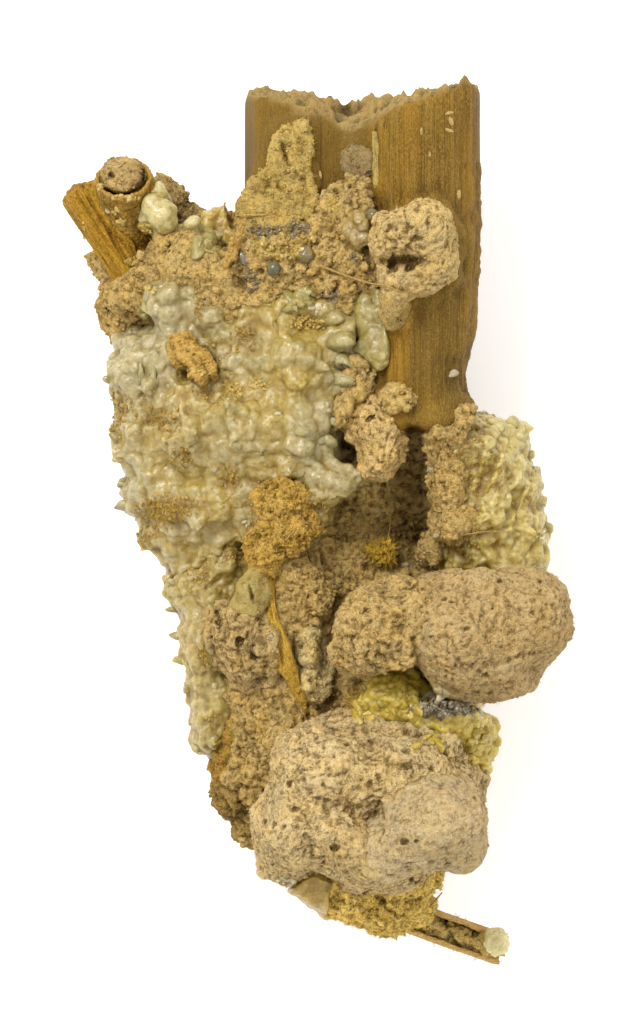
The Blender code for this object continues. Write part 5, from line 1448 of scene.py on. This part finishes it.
BEAD_VOXEL = 0.11
BEAD_IOR = 1.52
BEADS = (
    # node, colour, share of light let through, roughness
    ("bead_by_splinter", (168, 158, 128), 0.6, 0.16),
    ("bead_grey", (116, 110, 76), 0.4, 0.2),
    ("bead_clear", (164, 138, 82), 0.6, 0.14),
    ("bead_upper", (168, 150, 100), 0.6, 0.14),
)
for number, (node, tint, clear, rough) in enumerate(BEADS):
    bead = fine_skin(node, BEAD_VOXEL, 3)
    bead.co = bead.co + bead.normals() * (0.12 * clouds(bead.co, 0.7, 400 + number))[:, None]
    bead.co = bead.co + bead.normals() * (0.12 * (0.5 - cells(bead.co, 0.6, 410 + number)))[:, None]
    hollows(bead, BEAD_VOXEL)
    glass, w, shader = finish_of(node + "_glass")
    place = w.node("TexCoord").outputs["Object"]
    veil = w.noise(1300.0, place, 3.0, 0.6)
    w.link(w.mix(w.span(veil, 0.35, 0.7), colour(*tint, 1.25), colour(*tint, 0.5)), shader["Base Color"])
    w.link(w.span(veil, 0.4, 0.7, rough, rough + 0.3), shader["Roughness"])
    w.link(w.raised(w.noise(2600.0, place, 2.0), 0.3, 0.06), shader["Normal"])
    shader["Transmission Weight"].default_value = clear
    shader["IOR"].default_value = BEAD_IOR
    piece_of(node + "_drop", bead, glass, [node], node)


# The brown plate: a flat granular slab of stained earth. It lies aslant on the main crust
# and is stuck there by one face.

PLATE_VOXEL = 0.22
PLATE_DEPTH = 0.12
plate = worked_skin("brown_plate", PLATE_VOXEL, 1, 1)
crumbled(plate, 430, (0.12, 1.4), (0.06, 0.5), (0.06, 0.4))
hollows(plate, PLATE_DEPTH)
rng = np.random.default_rng(430)
piece_of("brown_plate_slab", merged([plate, grains(plate, 160, 0.16, 0.45, rng)]),
         earth_finish("brown_plate", (190, 154, 82), (182, 138, 58), pinholes=0.3),
         ["brown_plate"], "brown_plate")


# The rosette: a small fan of yellow-orange scales and needles. It grew on the earth in the
# dark cavity, and stands out of it.

FAN_VOXEL = 0.22
FAN_DEPTH = 0.12
fan = worked_skin("rosette", FAN_VOXEL, 1, 1)
crumbled(fan, 440, (0.3, 1.2), (0.3, 0.8), (0.3, 0.6))
hollows(fan, FAN_DEPTH)
rng = np.random.default_rng(440)
scales = [fan, needles(fan, 260, 0.4, 1.0, rng, thin=0.14), grains(fan, 120, 0.2, 0.6, rng)]
piece_of("rosette_fan", merged(scales),
         earth_finish("rosette_scales", (215, 176, 67), (197, 151, 44), dark=0.2),
         ["rosette"], "rosette")


# The dark mineral: grey grains with a metal-like glint. They are packed in a narrow band
# between the clods and the green crust, and stick to both.


def dark_finish():
    """Grey mineral, a little metallic in its darker patches."""
    material, w, shader = finish_of("dark_mineral")
    place = w.node("TexCoord").outputs["Object"]
    patch = w.noise(1100.0, place, 3.0, 0.7)
    grain = w.noise(5000.0, place, 2.0, 0.6)
    base = w.mix(w.span(patch, 0.4, 0.62), colour(104, 92, 68), colour(176, 164, 132))
    w.link(w.mix(w.span(grain, 0.45, 0.7), base, colour(72, 60, 42)), shader["Base Color"])
    w.link(w.span(patch, 0.35, 0.6, 0.35, 0.0), shader["Metallic"])
    w.link(w.span(grain, 0.3, 0.7, 0.25, 0.6), shader["Roughness"])
    w.link(w.raised(grain, 0.5, 0.08), shader["Normal"])
    return material


DARK_VOXEL = 0.24
DARK_DEPTH = 0.14
dark = worked_skin("dark_mineral", DARK_VOXEL, 1, 1)
middle = (dark.co.min(axis=0) + dark.co.max(axis=0)) / 2
narrow = (dark.co[:, 1] - middle[1]) * 0.9 + (dark.co[:, 0] - middle[0]) * 0.2
dark.co[:, 1] -= narrow * 0.5
crumbled(dark, 450, (0.4, 1.4), (0.36, 0.7), (0.3, 0.6))
hollows(dark, DARK_DEPTH)
piece_of("dark_mineral_band", dark, dark_finish(), ["dark_mineral"], "dark_mineral")


# The nests: hundreds of tiny crystals that stand close together in patches all over the
# specimen, grey, yellow, green, olive and white, with a few dark glints. Each grew where it is.

CARRIERS = [piece for piece in scene.objects
            if piece.type == "MESH" and not piece.hide_render and piece != floor]
FLOOR_CLEAR = 4.0


def resting(px, py):
    """The height of the specimen's top surface under a place in the picture, in mm."""
    x, y = place_of(px, py)
    best = 0.0
    for piece in CARRIERS:
        hit, spot, _, _ = piece.ray_cast(Vector((x, y, FROM_ABOVE)) * MM, Vector((0, 0, -1)))
        if hit:
            best = max(best, spot.z / MM)
    return np.array((x, y, best))


def nest(px, py, wide, high, count, least, most, rng, shapes):
    """Small crystals, from least to most mm wide, that stand close together on this patch.

    Places that would fall off the specimen, or far below the rest of the patch, are left out.
    """
    turn = rng.uniform(0, math.tau, count)
    out = np.sqrt(rng.random(count))
    feet = np.array([resting(px + wide * far * math.cos(angle), py + high * far * math.sin(angle))
                     for far, angle in zip(out, turn)])
    feet = feet[feet[:, 2] > max(FLOOR_CLEAR, np.median(feet[:, 2]) - FLOOR_CLEAR)]
    count = len(feet)
    sizes = rng.uniform(least, most, count)
    axes = np.stack([rng.normal(0, 0.5, count), rng.normal(0, 0.5, count), np.ones(count)], axis=1)
    feet[:, 2] -= sizes * 0.3
    made = planted(shapes, feet, axes, sizes, sizes, rng, soft=True)
    made.values["tone"] = rng.random(count)[made.owner]
    made.values["hollow"] = rng.uniform(0.15, 0.4, count)[made.owner]
    return made


rng = np.random.default_rng(460)
bevelled = [crystal_shape(rng, *kind, worn=1) for kind in ((5, 0.7, 2), (6, 0.8, 2), (4, 0.6, 2))]
NESTS = (
    # name, pale, yellow, share of brown, rows: x px, y px, half width, half height, count, least, most
    ("grey_nest", (138, 120, 84), (110, 91, 56), 0.6, (
        (266, 235, 16, 6, 46, 0.3, 0.8), (300, 232, 12, 7, 40, 0.3, 0.8), (252, 284, 7, 12, 36, 0.3, 0.8),
        (330, 298, 10, 7, 26, 0.3, 0.7), (352, 262, 6, 5, 12, 0.3, 0.6),
    )),
    ("yellow_nest", (190, 164, 92), (180, 148, 64), 0.3, (
        (284, 255, 18, 8, 90, 0.3, 0.7), (262, 250, 8, 6, 24, 0.3, 0.7), (306, 325, 16, 7, 60, 0.3, 0.7),
        (262, 385, 10, 6, 30, 0.3, 0.6), (236, 392, 6, 10, 26, 0.3, 0.6), (205, 372, 12, 5, 30, 0.3, 0.6),
        (128, 201, 13, 2, 26, 0.3, 0.7), (105, 189, 4, 5, 14, 0.3, 0.7), (117, 213, 3, 3, 6, 0.4, 0.8),
        (122, 223, 4, 3, 7, 0.4, 0.8), (133, 263, 8, 4, 18, 0.3, 0.8), (147, 228, 5, 8, 12, 0.3, 0.8),
        (153, 292, 5, 3, 10, 0.4, 0.8), (84, 232, 5, 12, 7, 0.2, 0.5), (335, 208, 8, 8, 24, 0.3, 0.7),
    )),
    ("green_nest", (172, 157, 98), (152, 135, 72), 0.2, (
        (292, 302, 8, 8, 7, 1.2, 2.2), (309, 300, 5, 7, 4, 1.2, 1.8), (208, 247, 13, 8, 9, 1.2, 2.2),
        (146, 312, 8, 6, 5, 1.0, 1.8),
    )),
    ("olive_nest", (190, 166, 72), (178, 150, 52), 0.2, (
        (395, 700, 24, 12, 22, 0.8, 1.6), (362, 712, 8, 12, 9, 0.8, 1.5), (425, 740, 16, 6, 10, 0.8, 1.4),
        (478, 735, 10, 12, 12, 0.8, 1.5),
    )),
    ("white_nest", (198, 184, 148), (190, 172, 126), 0.0, (
        (317, 311, 5, 3, 5, 0.5, 1.0), (286, 879, 9, 4, 10, 0.5, 1.0), (171, 387, 3, 2, 2, 0.4, 0.8),
        (280, 414, 3, 3, 2, 0.4, 0.8), (325, 410, 4, 3, 2, 0.5, 1.0), (215, 470, 5, 3, 2, 0.4, 0.8),
        (247, 522, 4, 3, 3, 0.4, 0.7), (437, 690, 7, 5, 7, 0.5, 1.0),
    )),
)
NEST_BROWN = (110, 84, 42)
for name, pale, yellow, brown_share, rows in NESTS:
    crystals = merged([nest(*row, rng, bevelled) for row in rows])
    finish = crystal_finish(name, pale, yellow, NEST_BROWN, brown_share, 0.0)
    piece_of(name, crystals, finish, [], "crust_main")
GLINTS = ((455, 707, 26, 5, 50), (425, 705, 8, 12, 26), (268, 234, 16, 6, 10))
glints = merged([nest(*row, 0.25, 0.6, rng, bevelled) for row in GLINTS])
piece_of("dark_glints", glints, dark_finish(), [], "dark_mineral")


# The roots and fibres: hair-fine roots and threads that lie over the specimen, and the
# short twig that stands at its foot. Each is dry plant fibre, held where its ends go in.


def tube(points, radius, tip):
    """A thin round strand through the points (mm), of this radius at the foot and tip at the end."""
    path = np.array(points, dtype=float)
    count = max(6, int(np.linalg.norm(np.diff(path, axis=0), axis=1).sum() / 0.25))
    knots = np.linspace(0, 1, len(path))
    along = np.linspace(0, 1, count)
    path = np.stack([np.interp(along, knots, path[:, axis]) for axis in range(3)], axis=1)
    for _ in range(3):
        path[1:-1] = 0.5 * path[1:-1] + 0.25 * (path[:-2] + path[2:])
    ahead = np.gradient(path, axis=0)
    ahead /= np.linalg.norm(ahead, axis=1, keepdims=True)
    side = np.cross(ahead, (0.13, 0.21, 0.97))
    side /= np.linalg.norm(side, axis=1, keepdims=True)
    other = np.cross(ahead, side)
    ring = np.arange(6) * math.tau / 6
    girth = np.linspace(radius, tip, count)[:, None, None]
    round_it = np.cos(ring)[None, :, None] * side[:, None] + np.sin(ring)[None, :, None] * other[:, None]
    co = path[:, None] + girth * round_it
    first = (np.arange(count - 1)[:, None] * 6 + np.arange(6)[None]).ravel()
    after = (np.arange(count - 1)[:, None] * 6 + (np.arange(6)[None] + 1) % 6).ravel()
    walls = np.stack([first, after, after + 6, first + 6], axis=1)
    caps = np.array([[5, 4, 3, 2, 1, 0], list(range(6 * count - 6, 6 * count))])
    return Skin(co.reshape(-1, 3), [walls, caps])


STRAND_RISE = 0.25


def strand(marks, radius, tip):
    """A strand that lies over the surface through marks in the picture."""
    dense = []
    for (ax, ay), (bx, by) in zip(marks, marks[1:]):
        for share in np.linspace(0, 1, 5)[:-1]:
            dense.append((ax + (bx - ax) * share, ay + (by - ay) * share))
    dense.append(marks[-1])
    heights = np.array([resting(px, py)[2] for px, py in dense])
    level = np.array([heights[max(0, k - 2):k + 3].max() for k in range(len(heights))])
    level = np.convolve(np.pad(level, 2, mode="edge"), np.ones(5) / 5, mode="valid")
    level[0], level[-1] = heights[0] - STRAND_RISE, heights[-1] - STRAND_RISE * 0.5
    points = [(*place_of(px, py), z + STRAND_RISE * 0.4) for (px, py), z in zip(dense, level)]
    return tube(points, radius, tip)


def stub(px, py, length, lean, radius):
    """A short fibre that stands out of the surface."""
    foot = resting(px, py)
    heading = np.array((lean[0], lean[1], 0.6))
    heading /= np.linalg.norm(heading)
    return tube([foot - heading * 0.4, foot + heading * length * 0.5, foot + heading * length + (0, 0, -0.1)],
                radius, radius * 0.5)


STRANDS = (
    # marks in the picture, radius at the foot and at the tip in mm
    (((316, 268), (345, 279), (372, 288), (385, 290), (400, 297)), 0.13, 0.08),
    (((285, 541), (292, 533), (298, 526)), 0.08, 0.05),
    (((460, 535), (485, 531), (520, 532)), 0.09, 0.06),
    (((232, 219), (258, 219), (276, 218)), 0.1, 0.06),
    (((350, 505), (372, 498), (392, 508)), 0.05, 0.03),
    (((345, 520), (365, 528), (388, 522)), 0.05, 0.03),
    (((385, 478), (392, 505), (388, 540)), 0.05, 0.03),
    (((282, 600), (292, 612), (286, 630)), 0.05, 0.03),
    (((300, 520), (318, 527), (338, 522)), 0.05, 0.03),
)
twig = stub(431, 908, 2.1, (0.7, 0.9), 0.13)
strands = merged([strand(*row) for row in STRANDS] + [twig])
piece_of("roots_and_fibres", strands,
         wood_finish("root_fibre", (165, 135, 74), (158, 122, 58), heading=0), [], "straw_splinter")


# The white chips and the curls of wood: flat flakes a millimetre across or less. They lie
# loose on the earth and on the wood's face.


def chip(px, py, width, tall, thick, turn, rng):
    """A small flat flake that lies on the surface."""
    foot = resting(px, py)
    corners, faces = lump_shape(rng, 2)
    c, s = math.cos(math.radians(turn)), math.sin(math.radians(turn))
    x, y = corners[:, 0] * width, corners[:, 1] * tall
    made = Skin(np.stack([x * c - y * s, x * s + y * c, corners[:, 2] * thick], axis=1) + foot, [faces])
    made.values["hollow"] = np.full(len(corners), 0.15)
    return made


rng = np.random.default_rng(470)
FLAKES = (
    # name, colour, stain, dark, slot, rows: x px, y px, width, length and thickness in mm, turn
    ("pale_chips", (186, 171, 139), (171, 154, 115), 0.6, "pale_cluster", (
        (450, 376, 1.2, 0.8, 0.5, 20), (430, 470, 0.8, 0.6, 0.5, 0), (435, 535, 0.7, 0.6, 0.5, 40),
        (405, 565, 0.8, 0.6, 0.5, 10), (429, 694, 1.4, 1.2, 0.8, 30), (272, 635, 0.8, 0.7, 0.6, 0),
        (109, 213, 0.5, 0.7, 0.3, 30),
    )),
    ("wood_curls", (184, 157, 100), (170, 140, 79), 0.5, "wood_slab", (
        (447, 119, 0.9, 0.4, 0.3, 10), (449, 127, 0.4, 0.9, 0.3, 15), (447, 136, 0.9, 0.4, 0.3, -25),
        (457, 199, 0.4, 1.2, 0.35, 5), (420, 137, 0.25, 0.8, 0.25, 5), (428, 160, 0.2, 0.6, 0.2, 0),
        (320, 178, 0.3, 0.9, 0.3, 10), (312, 200, 0.25, 0.6, 0.25, 0), (309, 155, 0.5, 0.7, 0.3, 30),
    )),
)
for name, tint, stain, dark_share, slot, rows in FLAKES:
    flakes = merged([chip(*row, rng) for row in rows])
    piece_of(name, flakes, earth_finish(name, tint, stain, dark=dark_share, pinholes=0.2), [], slot)
